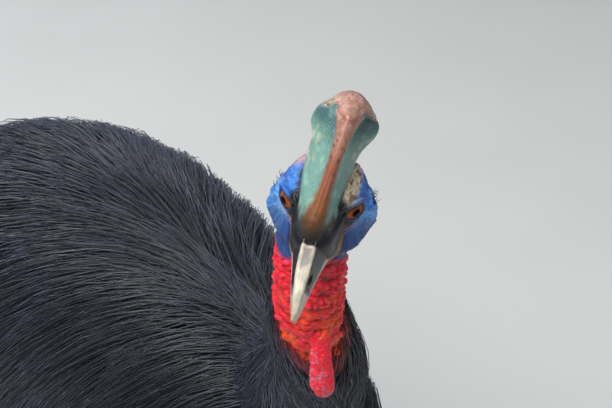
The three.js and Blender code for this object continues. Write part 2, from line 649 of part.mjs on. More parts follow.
// A wing: a short stub that grows from the flank, with bare quills that follow the flank over the coat.
function wing(side, grow = 0) {
  const start = (1 - side) / 2 + side * WING_ROOT.u;
  const stub = (t) => {
    const out = (WING_SUNK + WING_OUT) * smooth(t, 0, WING_RISE) - WING_SUNK;
    return bodyPoint(start + side * WING_REACH.u * t, WING_ROOT.v + WING_REACH.v * t, out);
  };
  const quills = Array.from({ length: WING_QUILLS }, (_, i) => {
    const spread = (i - (WING_QUILLS - 1) / 2) / WING_QUILLS;
    const reach = (QUILL_LENGTH / BODY_LENGTH) * (1 - QUILL_SHORTER * Math.abs(spread));
    const run = (t) => {
      const round = WING_REACH.u + (QUILL_FAN * spread + QUILL_DROOP) * t;
      const back = QUILL_START * WING_REACH.v + reach * t;
      const out = QUILL_OUT + QUILL_BOW * Math.sin(Math.PI * t);
      return bodyPoint(start + side * round, WING_ROOT.v + back, out);
    };
    return bar(run, CELLS.quill, (t) => QUILL_RADIUS * (1 - QUILL_TAPER * t), grow);
  });
  const ends = (t) => blunt(WING_ENDS + (1 - 2 * WING_ENDS) * t, WING_BLUNT);
  const round = (t) => WING_RADIUS * (1 - WING_TAPER * t) * ends(t);
  return join([bar(stub, CELLS.stub, round, grow), ...quills]);
}

const bird = new THREE.Group();

// Finishes: colour, and roughness from shiny to dull.
const finish = (color, roughness) => new THREE.MeshStandardMaterial({ color, roughness, metalness: 0 });
const PLUMAGE = finish(0x15161d, 0.55);
const BLUE_SKIN = finish(0x2f63c4, 0.5);
const RED_SKIN = finish(0xd8232b, 0.45);
const CASQUE_HORN = finish(0x6f9a8c, 0.45);
const BILL_HORN = finish(0x8f8a80, 0.4);
const EYE_GLOSS = finish(0xb4541a, 0.1);
const SCALES = finish(0x5c5648, 0.6);
const CLAW_HORN = finish(0x2b2724, 0.4);

// The surface of a solid as a geometry, with its corners set to a fine grid so that near ones meet.
function surface(body) {
  const mesh = body.getMesh();
  const points = new Float32Array(mesh.numVert * 3);
  for (let i = 0; i < mesh.numVert; i++) {
    points.set(mesh.vertProperties.subarray(i * mesh.numProp, i * mesh.numProp + 3), i * 3);
  }
  const snapped = points.map((x) => Math.round(x / SNAP) * SNAP);
  const geometry = new THREE.BufferGeometry();
  geometry.setAttribute("position", new THREE.BufferAttribute(snapped, 3));
  return geometry.setIndex(new THREE.BufferAttribute(mesh.triVerts, 1));
}

// Adds a named sub-part to the bird. Merging near vertices can pinch off a scrap, so it is sorted out again.
function add(name, body, material) {
  const geometry = surface(largest(solid(surface(largest(body)))));
  geometry.computeVertexNormals();
  const piece = new THREE.Mesh(geometry, material);
  piece.name = name;
  bird.add(piece);
}

// What to cut away for a shape: the shape grown by a gap, and itself where it twists too much to grow evenly.
const cleared = (shape) => join([shape(TWIST_GAP), shape(0)]);

// Body, parted from the tail by a cut across the body's line.
const bodySkin = (grow) => skin((u, v) => bodyPoint(u, v, grow), CELLS.body);
const cutHeading = bodyLine.heading(TAIL_SPLIT);
const cutAt = cutHeading.dot(bodyLine.at(TAIL_SPLIT));
const ahead = (body) => body.trimByPlane(cutHeading.clone().negate().toArray(), GAP / 2 - cutAt);
const behind = (body) => body.trimByPlane(cutHeading.toArray(), cutAt + GAP / 2);
const bodyCoat = coat(bodyPoint, bodyLie, 1, BODY_LOCKS);
const tailCoat = coat(bodyPoint, bodyLie, 1, TAIL_LOCKS);

// Neck: the feathered part below and the bare part above.
const collar = (u) => FEATHER_LINE - FEATHER_DIP * ((1 + Math.cos(2 * Math.PI * u)) / 2) ** FEATHER_POINT;
const feathered = (u, v, grow) => neckPoint(NECK_CORE, u, v * collar(u), grow);
const neckCoat = coat(feathered, neckLie, 1, NECK_LOCKS);
const feathers = (grow) => join([skin((u, v) => feathered(u, v, grow), CELLS.feathered), neckCoat(grow)]);
const bareNeck = (grow) => skin((u, v) => barePoint(u, v, grow), CELLS.bare, evenly);
const headSkin = (grow) => skin((u, v) => headPoint(u, v, grow), CELLS.head);

// A thigh, feathered down to the ankle.
function thigh(side, grow) {
  const point = (u, v, more) => limbPoint(side, THIGH_LINE, THIGH_RADIUS, u, v, more);
  const lie = (u, v) => line(THIGH_LINE).heading(v).add(new THREE.Vector3(0, 0, -THIGH_HANG));
  const locks = coat(point, lie, side, THIGH_LOCKS);
  return join([skin((u, v) => point(u, v, grow), CELLS.thigh), locks(grow)]);
}
const thighs = (grow) => join([thigh(1, grow), thigh(-1, grow)]);
const wings = (grow) => join([wing(1, grow), wing(-1, grow)]);

const bodyLocks = bodyCoat(0).subtract(cleared(feathers)).subtract(cleared(thighs));
const tailLocks = behind(tailCoat(0));
add("torso", join([ahead(bodySkin(0)), bodyLocks]).subtract(wings(GAP)), PLUMAGE);
add("tail", join([behind(bodySkin(0)), tailLocks]).subtract(cleared(bodyCoat)), PLUMAGE);
add("wing_left", wing(1), PLUMAGE);
add("wing_right", wing(-1), PLUMAGE);
add("neck_feathered", feathers(0).subtract(bodySkin(GAP)).subtract(bareNeck(GAP)), PLUMAGE);
add("neck_bare", bareNeck(0).subtract(headSkin(GAP)), RED_SKIN);
const wattle = skin(wattlePoint, CELLS.wattle, evenly);
add("wattle", wattle.subtract(bareNeck(GAP)).subtract(cleared(feathers)), RED_SKIN);

// Head with its bill, eyes, ears and casque.
const casque = skin(casquePoint, CELLS.casque, evenly);
const upper = (grow) => bill(upperBill, 1, grow);
const lower = (grow) => bill(lowerBill, LOWER_TIP, grow);
const mirrored = ([forward, left, up], side) => [forward, side * left, up];
const eyeBall = (side, grow) => headBall(mirrored(EYE_AT, side), Array(3).fill(EYE_RADIUS + grow));
const lids = [1, -1].map((side) => headRing(mirrored(EYE_AT, side), LIDS));
const ears = [1, -1].map((side) => headRing(onHead(side, EAR_AT), EAR_RIM));
const holes = join([1, -1].map((side) => headBall(mirrored(NOSTRIL_AT, side), NOSTRIL_SIZE, NOSTRIL_SIDES)));
add("head", join([headSkin(0), ...lids, ...ears])
  .subtract(join([cleared(upper), cleared(lower), eyeBall(1, GAP), eyeBall(-1, GAP)])), BLUE_SKIN);
add("casque", casque.subtract(headSkin(GAP)).subtract(upper(GAP)), CASQUE_HORN);
add("bill_upper", upper(0).subtract(holes), BILL_HORN);
add("bill_lower", lower(0), BILL_HORN);
add("eye_left", eyeBall(1, 0), EYE_GLOSS);
add("eye_right", eyeBall(-1, 0), EYE_GLOSS);

// Legs and feet.
for (const [side, name] of [[1, "left"], [-1, "right"]]) {
  const shank = (u, v) => limbPoint(side, TARSUS_LINE, TARSUS_RADIUS, u, v, plates(SCUTES, u, v));
  const pad = (grow) => {
    const ball = new THREE.SphereGeometry(1, ...CELLS.pad);
    ball.scale(PAD_RADIUS + grow, PAD_RADIUS * PAD_LONG + grow, PAD_RADIUS + grow);
    return solid(ball.translate(side * (LEG_APART + PAD_AT[0]), PAD_AT[1] + side * STRIDE, PAD_AT[2]));
  };
  add(`thigh_${name}`, thigh(side, 0).subtract(bodySkin(GAP)), PLUMAGE);
  add(`tarsus_${name}`, skin(shank, [LIMB_SIDES, plateRows(SCUTES)], plateSteps(SCUTES))
    .subtract(cleared((grow) => thigh(side, grow))).subtract(pad(GAP)), SCALES);
  add(`foot_${name}`, above(pad(0)), SCALES);
  const toe = (kind, grow) => {
    const point = (u, v) => toePoint(side, TOES[kind], u, v, grow + plates(TOE_SCUTES, u, v));
    return skin(point, [LIMB_SIDES, plateRows(TOE_SCUTES)], plateSteps(TOE_SCUTES));
  };
  for (const kind of Object.keys(TOES)) {
    const body = kind === "middle" ? toe(kind, 0) : toe(kind, 0).subtract(toe("middle", GAP));
    const claw = skin((u, v) => clawPoint(side, TOES[kind], u, v), CELLS.claw, evenly);
    add(`toe_${kind}_${name}`, above(body.subtract(pad(GAP))), SCALES);
    add(`claw_${kind}_${name}`, above(claw.subtract(toe(kind, GAP))), CLAW_HORN);
  }
}

// The finished bird stands over the origin.
const box = new THREE.Box3().setFromObject(bird);
const middle = box.getCenter(new THREE.Vector3());
for (const piece of bird.children) piece.position.set(-middle.x, -middle.y, -box.min.z);

export default bird;
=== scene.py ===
import math
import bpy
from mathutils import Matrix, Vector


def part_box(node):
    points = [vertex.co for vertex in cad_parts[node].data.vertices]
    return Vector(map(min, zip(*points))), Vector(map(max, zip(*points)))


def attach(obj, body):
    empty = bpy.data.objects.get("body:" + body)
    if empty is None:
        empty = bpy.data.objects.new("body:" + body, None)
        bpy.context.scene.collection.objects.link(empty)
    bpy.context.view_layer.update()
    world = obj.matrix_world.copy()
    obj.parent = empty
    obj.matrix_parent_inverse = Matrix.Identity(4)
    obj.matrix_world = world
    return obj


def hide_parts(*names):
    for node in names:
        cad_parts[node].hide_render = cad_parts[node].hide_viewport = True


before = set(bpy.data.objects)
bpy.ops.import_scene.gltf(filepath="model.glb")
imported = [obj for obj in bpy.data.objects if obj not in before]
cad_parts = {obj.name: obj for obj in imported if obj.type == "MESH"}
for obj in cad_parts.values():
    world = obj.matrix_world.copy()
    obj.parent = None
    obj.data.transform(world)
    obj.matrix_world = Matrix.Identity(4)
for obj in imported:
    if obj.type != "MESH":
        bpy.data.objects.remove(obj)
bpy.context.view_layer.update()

from types import SimpleNamespace

import bpy
import numpy as np
from mathutils import Matrix, Vector

# The bird's forms, in millimetres, in its own frame: it heads along -Y and +X is its left side.
BODY_LINE = [[0, -392, 742], [0, -292, 778], [0, -125, 795], [0, 55, 786], [0, 225, 742], [0, 372, 655],
             [0, 462, 535]]
BODY_WIDTH = [70, 104, 156, 192, 186, 148, 96]
BODY_ABOVE = [88, 122, 178, 202, 184, 140, 84]
BODY_BELOW = [120, 178, 232, 252, 236, 190, 120]
BODY_BLUNT = 0.2
NECK_LINE = [[0, -205, 800], [-4, -308, 893], [-38, -380, 985], [-77, -408, 1085], [-86, -420, 1165],
             [-78, -419, 1232]]
NECK_CORE = [98, 68, 42, 36.5, 36, 34]
NECK_BARE = [30, 31, 32, 33, 33, 35]
NECK_TURN = -42
NECK_TURN_SPAN = (0.1, 0.9)
BARE_START = 0.45
FEATHER_LINE = 0.66
FEATHER_DIP = 0.17
FEATHER_POINT = 1.5
WATTLE_LENGTH = 86
WATTLE_WIDTH = 23
WATTLE_THICK = 13
WATTLE_AT = (0.035, 0.645)
WATTLE_SUNK = 8
WATTLE_TIP = 0.2
WATTLE_SHAPE = [0.7, 0.85, 0.8, 0.9, 1, 1, 0.9]
WATTLE_OUT = 8
WATTLE_ASIDE = 4
HEAD_AT = np.array([-103.0, -452.0, 1250.0])
HEAD_TURNS = (-54, 13, 4.5)
HEAD_BACK = -66
HEAD_FRONT = 56
HEAD_WIDTH = [20, 31, 35, 33, 27.5, 20.5, 13]
HEAD_TOP = [10, 22, 27, 26, 22, 17, 10]
HEAD_BOTTOM = [34, 48, 55, 54, 47, 36, 22]
HEAD_BLUNT = (0.3, 0.12)
CROWN_SQUARE = (0.95, 0.92)
CHEEK_SQUARE = (0.6, 0.75)
HEAD_BUMPS = [((-12, 36, -22), 18, 23), ((10, 27, -42), 9, 20), ((5, 32, 0), -6, 14), ((20, 26, -3), -4, 12),
              ((0, 26, 19), 3, 10), ((16, 30, -24), -8, 13)]
EYE_RADIUS = 11.4
EYE_AT = (-1, 25.3, 4)
BILL_ROOT = 16
BILL_TIP = 113
BILL_WIDTH = [21, 18.5, 15, 12, 9.5, 6.5, 2.5]
BILL_TOP = [8, 11, 11, 9, 4, -3, -16]
BILL_MOUTH = [-24, -21, -18.5, -17, -17, -20, -26]
CHIN = [-38, -36, -33, -30, -27, -25, -26]
MOUTH_GAP = 0.7
CULMEN_HALF = 5.8
NOSTRIL_AT = (86, 8.5, -5)
CASQUE_KEEL = [56, 36, 14, -5, -20]
CASQUE_KEEL_UP = [15, 36, 58, 78, 92]
CASQUE_REAR = [-50, -55, -60, -63, -61]
CASQUE_REAR_UP = [19, 36, 52, 68, 83]
CASQUE_EDGE = [22, 22.5, 30, 29.8, 22]
CASQUE_FLANK = [21, 16.5, 12, 11.5, 15]
KEEL_HALF = [14, 6.5, 5, 7, 11]
EDGE_FROM_REAR = 8
REAR_CORNERS = (-1, -4)
REAR_SHARE = 0.7
CASQUE_SHOULDER = 0.82
CASQUE_DOME = 7
CASQUE_SAG = 15
SAG_POWER = 1.5
CASQUE_LEAN = 12
LEAN_HEIGHT = 20
CASQUE_SUNK = 12
CASQUE_FOOT = 0.12
CASQUE_UNEVEN = 0.12
LEG_APART = 108
STRIDE = 26
THIGH_LINE = [[4, 8, 650], [5, 44, 565], [2, 108, 470], [-2, 162, 385], [-3, 182, 338]]
THIGH_RADIUS = [62, 78, 60, 34, 24]
TARSUS_LINE = [[-3, 184, 340], [-3, 166, 270], [-1, 142, 170], [0, 118, 78], [0, 110, 42]]
TARSUS_RADIUS = [27, 20, 18, 20, 24]
LIMB_BLUNT = 0.09
PAD_AT = (0, 110, 17)
PAD_RADIUS = 27
TOES = {"inner": (-30, 92, 14, 92, 9.5), "middle": (3, 158, 16, 46, 9), "outer": (35, 112, 13.5, 38, 8)}
TOE_TAPER = 0.32
TOE_PRESS = 2
WING_ROOT = (0.245, 0.24)
COAT_DEPTH = 25
BODY_HANG = 1.1
UPWARD = np.array([0, 0, 1.0])
SIDES = ((1, "left"), (-1, "right"))


def cubic(a, b, c, d, w):
    """A cubic from b at w = 0 to c at w = 1, whose slopes are half of c - a and half of d - b."""
    return b + 0.5 * w * (c - a + w * (2 * a - 5 * b + 4 * c - d + w * (3 * (b - c) + d - a)))


def along(values, t):
    """A smooth curve through evenly spaced values: a cubic between each two, sloped by their neighbours."""
    values = np.asarray(values, float)
    x = np.clip(t, 0, 1) * (len(values) - 1)
    i = np.minimum(x.astype(int), len(values) - 2)
    w = x - i
    padded = np.concatenate([2 * values[:1] - values[1:2], values, 2 * values[-1:] - values[-2:-1]])
    return cubic(*(padded[i + k] for k in range(4)), w[..., None] if values.ndim > 1 else w)


def across_values(values, t, mirrored=False):
    """The same curve through a list of arrays, one curve for each of their places.

    A mirrored curve is level at both ends."""
    table = np.stack(values, axis=-1)
    x = np.clip(t, 0, 1) * (len(values) - 1)
    i = np.minimum(x.astype(int), len(values) - 2)
    first = table[..., 1:2] if mirrored else 2 * table[..., :1] - table[..., 1:2]
    last = table[..., -2:-1] if mirrored else 2 * table[..., -1:] - table[..., -2:-1]
    padded = np.concatenate([first, table, last], axis=-1)
    return cubic(*(np.take_along_axis(padded, (i + k)[..., None], axis=-1)[..., 0] for k in range(4)), x - i)


def unit(vectors):
    """Vectors scaled to length one."""
    return vectors / np.maximum(np.linalg.norm(vectors, axis=-1, keepdims=True), 1e-9)


def square_to(ahead, vectors):
    """Vectors without their share along ahead, scaled to length one."""
    return unit(vectors - (vectors * ahead).sum(-1, keepdims=True) * ahead)


def times(lengths, directions):
    """Directions, each scaled by its own length."""
    return np.asarray(lengths)[..., None] * directions


def on_ring(middle, angle, radius, front, side):
    """Places round a middle: the radius towards front at angle 0, and towards side a quarter turn on."""
    return middle + times(radius * np.cos(angle), front) + times(radius * np.sin(angle), side)


def level_axes(turn):
    """Two level directions at a turn in degrees: ahead, which is -Y at no turn, and its left."""
    turn = math.radians(turn)
    return np.array([math.sin(turn), -math.cos(turn), 0]), np.array([math.cos(turn), math.sin(turn), 0])


def halved(u):
    """From 0 where u starts to 1 halfway round, the same on both sides."""
    return 2 * np.minimum(u, 1 - u)


def smooth(x, low, high):
    """Zero below low, one above high and an S between them."""
    t = np.clip((x - low) / (high - low), 0, 1)
    return t * t * (3 - 2 * t)


def heading(points, t, step=0.004):
    """The direction of the curve through points at t: the difference of two near points, scaled to one."""
    return unit(along(points, np.minimum(t + step, 1)) - along(points, np.maximum(t - step, 0)))


def blunt(t, share):
    """One at the middle of a tube, falling to zero as a quarter circle over the share at each end."""
    edge = np.clip(np.minimum(t, 1 - t) / share, 0, 1)
    return np.sqrt(np.maximum(0, 1 - (1 - edge) ** 2))


def hashed(i, j, k, seed):
    """A number from 0 to 1 for each lattice point, mixed from its whole-number coordinates."""
    n = (i * 374761393 + j * 668265263 + k * 2147483647 + seed * 1274126177) & 0xFFFFFFFF
    n = ((n ^ (n >> 13)) * 1274126177) & 0xFFFFFFFF
    n = ((n ^ (n >> 16)) * 2246822519) & 0xFFFFFFFF
    return (n ^ (n >> 15)) / 4294967295.0


def noise(points, size, seed=0):
    """Smooth noise from -1 to 1: random values at the corners of cubes, blended inside each cube."""
    p = points / size
    base = np.floor(p).astype(np.int64)
    f = p - base
    f = f * f * (3 - 2 * f)
    total = 0
    for corner in np.ndindex(2, 2, 2):
        c = np.array(corner)
        share = np.prod(np.where(c == 1, f, 1 - f), axis=-1)
        total = total + share * hashed(*(base + c).T, seed)
    return 2 * total - 1


def cells(points, size, seed=0):
    """Distances to the nearest two of points strewn one to a cube, as shares of the cube's size."""
    p = points / size
    base = np.floor(p).astype(np.int64)
    near = np.full(len(p), 9.0)
    second = near.copy()
    for corner in np.ndindex(3, 3, 3):
        c = base + np.array(corner) - 1
        place = c + np.stack([hashed(*c.T, seed + k) for k in (1, 2, 3)], axis=-1)
        away = np.linalg.norm(place - p, axis=-1)
        second = np.minimum(second, np.maximum(away, near))
        near = np.minimum(near, away)
    return near, second


# The head's own frame: columns are its left, its back and its up.
yaw, pitch, roll = (math.radians(a) for a in HEAD_TURNS)
TURN_Z = np.array([[math.cos(yaw), -math.sin(yaw), 0], [math.sin(yaw), math.cos(yaw), 0], [0, 0, 1]])
TURN_X = np.array([[1, 0, 0], [0, math.cos(pitch), -math.sin(pitch)], [0, math.sin(pitch), math.cos(pitch)]])
TURN_Y = np.array([[math.cos(roll), 0, math.sin(roll)], [0, 1, 0], [-math.sin(roll), 0, math.cos(roll)]])
HEAD_AXES = TURN_Z @ TURN_X @ TURN_Y


def in_head(forward, left, up):
    """A place given as forward, left and up of the point between the eyes."""
    forward, left, up = np.broadcast_arrays(forward, left, up)
    return np.stack([left, -forward, up], axis=-1) @ HEAD_AXES.T + HEAD_AT


def head_place(points):
    """The opposite of in_head: forward, left and up of points, each as an array."""
    left, back, up = ((points - HEAD_AT) @ HEAD_AXES).T
    return -back, left, up


def body_point(u, v, grow=0):
    """The body's core: an egg-shaped tube round its line, u = 0 along its back and u = 0.25 on its left."""
    angle = 2 * np.pi * u
    ahead = heading(BODY_LINE, v)
    up = np.stack([np.zeros_like(v), -ahead[..., 2], ahead[..., 1]], axis=-1)
    share = blunt(v, BODY_BLUNT)
    rise = np.where(np.cos(angle) > 0, along(BODY_ABOVE, v), along(BODY_BELOW, v))
    side = times((along(BODY_WIDTH, v) * share + grow) * np.sin(angle), np.array([1.0, 0, 0]))
    high = times((rise * share + grow) * np.cos(angle), up)
    return along(BODY_LINE, v) + side + high + times(grow * (2 * v - 1), ahead)


def neck_axes(v):
    """The neck's front, which turns with the head, and its left, both square to its line at v."""
    ahead = heading(NECK_LINE, v)
    turn = math.radians(NECK_TURN) * smooth(v, *NECK_TURN_SPAN)
    front = square_to(ahead, np.stack([np.sin(turn), -np.cos(turn), np.zeros_like(turn)], axis=-1))
    return front, -np.cross(front, ahead)


def neck_point(radii, u, v, grow=0):
    """The neck: rings round its line. u = 0 is its front and u = 0.25 its left."""
    return on_ring(along(NECK_LINE, v), 2 * np.pi * u, along(radii, v) + grow, *neck_axes(v))


def collar(u):
    """How far up the neck its feathers reach: lowest in front."""
    return FEATHER_LINE - FEATHER_DIP * ((1 + np.cos(2 * np.pi * u)) / 2) ** FEATHER_POINT


def power(x, exponent):
    """A power that keeps the sign."""
    return np.sign(x) * np.abs(x) ** exponent


def head_section(v, upper):
    """The skull's half width at v, its height above or below, and the powers that make it squarish."""
    share = np.where(v < 0.5, blunt(v, HEAD_BLUNT[0]), blunt(v, HEAD_BLUNT[1]))
    height = np.where(upper, along(HEAD_TOP, v), along(HEAD_BOTTOM, v))
    powers = (np.where(upper, crown, cheek) for crown, cheek in zip(CROWN_SQUARE, CHEEK_SQUARE))
    return along(HEAD_WIDTH, v) * share, height * share, *powers


def head_push(bump, forward, left, up):
    """How far a swell or hollow pushes the head's side out: a dome of its own size round its middle."""
    (ahead, aside, high), push, size = bump
    away = (forward - ahead) ** 2 + (np.abs(left) - aside) ** 2 + (up - high) ** 2
    return push * np.exp(-away / size**2)


def head_point(u, v):
    """The skull with its skin: a squarish tube from nape to bill, with swells and hollows."""
    angle = 2 * np.pi * u
    width, height, across, upward = head_section(v, np.cos(angle) > 0)
    left = width * power(np.sin(angle), across)
    forward = HEAD_BACK + (HEAD_FRONT - HEAD_BACK) * v
    up = height * power(np.cos(angle), upward)
    for bump in HEAD_BUMPS:
        left = left + np.sign(left) * head_push(bump, forward, left, up)
    return in_head(forward, left, up)


def casque_point(u, v):
    """The casque: sections with a keel in front and two flared edges behind, up to a domed cap."""
    h = np.minimum(v / CASQUE_SHOULDER, 1)
    dome = np.maximum((v - CASQUE_SHOULDER) / (1 - CASQUE_SHOULDER), 0) * (np.pi / 2)
    keel, rear, edge, ridge = (along(x, h) for x in (CASQUE_KEEL, CASQUE_REAR, CASQUE_EDGE, KEEL_HALF))
    middle = (rear + keel) / 2
    outline = [keel, keel - ridge, middle, rear + EDGE_FROM_REAR, *(rear + corner for corner in REAR_CORNERS)]
    widths = [0 * ridge, ridge, along(CASQUE_FLANK, h), edge, REAR_SHARE * edge, 0 * ridge]
    forward = across_values(outline, halved(u), True)
    flare = np.maximum(across_values(widths, halved(u)), 0)
    wide = flare * np.cos(dome) * np.where(u < 0.5, 1, CASQUE_UNEVEN * smooth(h, 0.35, 0.7) - 1)
    share = (forward - rear) / (keel - rear)
    rear_up, keel_up = along(CASQUE_REAR_UP, h), along(CASQUE_KEEL_UP, h)
    level = (rear_up + keel_up) / 2
    rise = level + (rear_up * (1 - share) + keel_up * share - level) * np.cos(dome)
    sag = CASQUE_SAG * h**SAG_POWER * (flare / edge) ** 2 * np.cos(dome) ** 2
    sunk = CASQUE_SUNK * np.maximum(0, 1 - v / CASQUE_FOOT)
    up = rise - sunk - sag + CASQUE_DOME * np.sin(dome) - CASQUE_KEEL_UP[0]
    lean = math.radians(CASQUE_LEAN) * np.clip(up / LEAN_HEIGHT, 0, 1)
    left = wide * np.cos(lean) + up * np.sin(lean)
    high = up * np.cos(lean) - wide * np.sin(lean) + CASQUE_KEEL_UP[0]
    return in_head(middle + (forward - middle) * np.cos(dome), left, high)


def limb_point(side, points, radii, u, v, grow=0):
    """A limb: rings round its line on one side of the bird, with round ends. u = 0 is its front."""
    ahead = heading(points, v)
    front = unit(np.stack([np.zeros_like(v), ahead[..., 2], -ahead[..., 1]], axis=-1))
    radius = along(radii, v) * blunt(v, LIMB_BLUNT) + grow
    middle = along(points, v) + times(grow * (2 * v - 1), ahead)
    x, y, z = np.moveaxis(on_ring(middle, 2 * np.pi * u, radius, front, unit(np.cross(ahead, front))), -1, 0)
    return np.stack([side * (LEG_APART + x), y + side * STRIDE, z], axis=-1)


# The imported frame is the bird's own one, moved. The middle of an eye gives the move.
eye_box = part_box("eye_left")
eye_middle = np.array([(low + high) / 2 for low, high in zip(*eye_box)])
SHIFT = eye_middle * 1000 - in_head(*EYE_AT)


def build(name, points, triangles, material=None, slot=None):
    """A new piece from points in millimetres of the bird's frame and rows of three corners."""
    mesh = bpy.data.meshes.new(name)
    mesh.vertices.add(len(points))
    mesh.vertices.foreach_set("co", ((points + SHIFT) / 1000).astype(np.float32).ravel())
    mesh.loops.add(3 * len(triangles))
    mesh.loops.foreach_set("vertex_index", triangles.astype(np.int32).ravel())
    mesh.polygons.add(len(triangles))
    mesh.polygons.foreach_set("loop_start", np.arange(0, 3 * len(triangles), 3, dtype=np.int32))
    mesh.update(calc_edges=True)
    mesh.polygons.foreach_set("use_smooth", np.ones(len(triangles), bool))
    piece = bpy.data.objects.new(name, mesh)
    bpy.context.scene.collection.objects.link(piece)
    if material:
        mesh.materials.append(material)
        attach(piece, "root")
    return piece


def paint(piece, **values):
    """Stores a value or a colour for each corner point of a piece's mesh, for its material to read."""
    for name, value in values.items():
        value = np.asarray(value, np.float32)
        if value.ndim == 1:
            layer = piece.data.attributes.new(name, "FLOAT", "POINT")
            layer.data.foreach_set("value", value)
        else:
            layer = piece.data.attributes.new(name, "FLOAT_COLOR", "POINT")
            full = np.concatenate([value, np.ones((len(value), 1), np.float32)], axis=1)
            layer.data.foreach_set("color", full.ravel())


def outward_triangles(points, triangles):
    """The triangles of a closed surface, all turned round if together they enclose less than nothing."""
    a, b, c = (points[triangles[:, k]] for k in range(3))
    volume = (a * np.cross(b, c)).sum()
    return triangles if volume > 0 else triangles[:, ::-1]


def grid_triangles(rows, around, wrapped=False):
    """Two triangles in each cell of a table of rings, and if wrapped also from the last ring to the first."""
    j, i = np.meshgrid(np.arange(rows if wrapped else rows - 1), np.arange(around), indexing="ij")
    k, after = (i + 1) % around, (j + 1) % rows
    a, b, c, d = (x.ravel() for x in (j * around + i, j * around + k, after * around + k, after * around + i))
    return np.concatenate([np.stack([a, b, c], 1), np.stack([a, c, d], 1)])


def tube(rings):
    """A closed surface through a table of rings, with a fan of triangles to the middle of each end."""
    rows, around = rings.shape[:2]
    points = np.concatenate([rings.reshape(-1, 3), rings[:1].mean(1), rings[-1:].mean(1)])
    spot = np.arange(around)
    after, end = (spot + 1) % around, (rows - 1) * around
    first, last = (np.full(around, rows * around + k) for k in range(2))
    ends = np.stack([first, after, spot], 1), np.stack([last, end + spot, end + after], 1)
    return points, outward_triangles(points, np.concatenate([grid_triangles(rows, around), *ends]))


def skin(point, around, rows, crowd=True, low=0.0, high=1.0):
    """The tube of point(u, v): u runs round it, and v from end to end in steps that crowd at the ends."""
    v = np.linspace(0, 1, rows + 1)
    v = low + (high - low) * (0.5 - 0.5 * np.cos(np.pi * v) if crowd else v)
    vv, uu = np.meshgrid(v, np.arange(around) / around, indexing="ij")
    return tube(point(uu, vv))


def corner_shares(around, rows):
    """u and v at each point of a skin in even steps, the middles of its two ends last."""
    vv, uu = np.meshgrid(np.linspace(0, 1, rows + 1), np.arange(around) / around, indexing="ij")
    return np.append(uu.ravel(), [0, 0]), np.append(vv.ravel(), [0, 1])


def together(shapes):
    """Several surfaces as one list of points and triangles."""
    points = np.concatenate([p for p, _ in shapes])
    starts = np.cumsum([0] + [len(p) for p, _ in shapes[:-1]])
    return points, np.concatenate([t + s for (_, t), s in zip(shapes, starts)])


def fused(name, shapes, voxel, rounds):
    """One closed skin over several overlapping surfaces: their outer wall in small cells, then softened.

    Returns its points in millimetres and its triangles."""
    piece = build(name, *together(shapes))
    cell = piece.modifiers.new("cells", "REMESH")
    cell.mode = "VOXEL"
    cell.voxel_size = voxel / 1000
    soft = piece.modifiers.new("soften", "SMOOTH")
    soft.iterations = rounds
    whole = piece.modifiers.new("triangles", "TRIANGULATE")
    whole.quad_method = "SHORTEST_DIAGONAL"
    made = piece.evaluated_get(bpy.context.evaluated_depsgraph_get()).to_mesh()
    points = np.zeros(3 * len(made.vertices), np.float32)
    made.vertices.foreach_get("co", points)
    corners = np.zeros(3 * len(made.polygons), np.int32)
    made.polygons.foreach_get("vertices", corners)
    bpy.data.meshes.remove(piece.data)
    points = points.reshape(-1, 3).astype(float) * 1000 - SHIFT
    triangles = corners.reshape(-1, 3)
    return points, outward_triangles(points, triangles)


def normals(points, triangles):
    """The outward direction at each point: the sum of its triangles' own, each weighed by its area."""
    a, b, c = (points[triangles[:, k]] for k in range(3))
    face = np.cross(b - a, c - a)
    total = np.zeros_like(points)
    for k in range(3):
        for axis in range(3):
            total[:, axis] += np.bincount(triangles[:, k], face[:, axis], len(points))
    return unit(total)


class Wire:
    """A socket of a material's nodes. Sums, products and the like of wires and numbers add Math nodes."""

    def __init__(self, shader, socket):
        self.shader = shader
        self.socket = socket

    def math(self, operation, a, b=0.0):
        return self.shader.node("ShaderNodeMath", {"operation": operation}, {0: a, 1: b})

    def __add__(self, other):
        return self.math("ADD", self, other)

    __radd__ = __add__

    def __sub__(self, other):
        return self.math("SUBTRACT", self, other)

    def __rsub__(self, other):
        return self.math("SUBTRACT", other, self)

    def __mul__(self, other):
        return self.math("MULTIPLY", self, other)

    __rmul__ = __mul__

    def between(self, low, high):
        """Zero below low, one above high and an S between them."""
        ramp = {"interpolation_type": "SMOOTHSTEP"}
        return self.shader.node("ShaderNodeMapRange", ramp, {0: self, 1: low, 2: high, 3: 0.0, 4: 1.0})


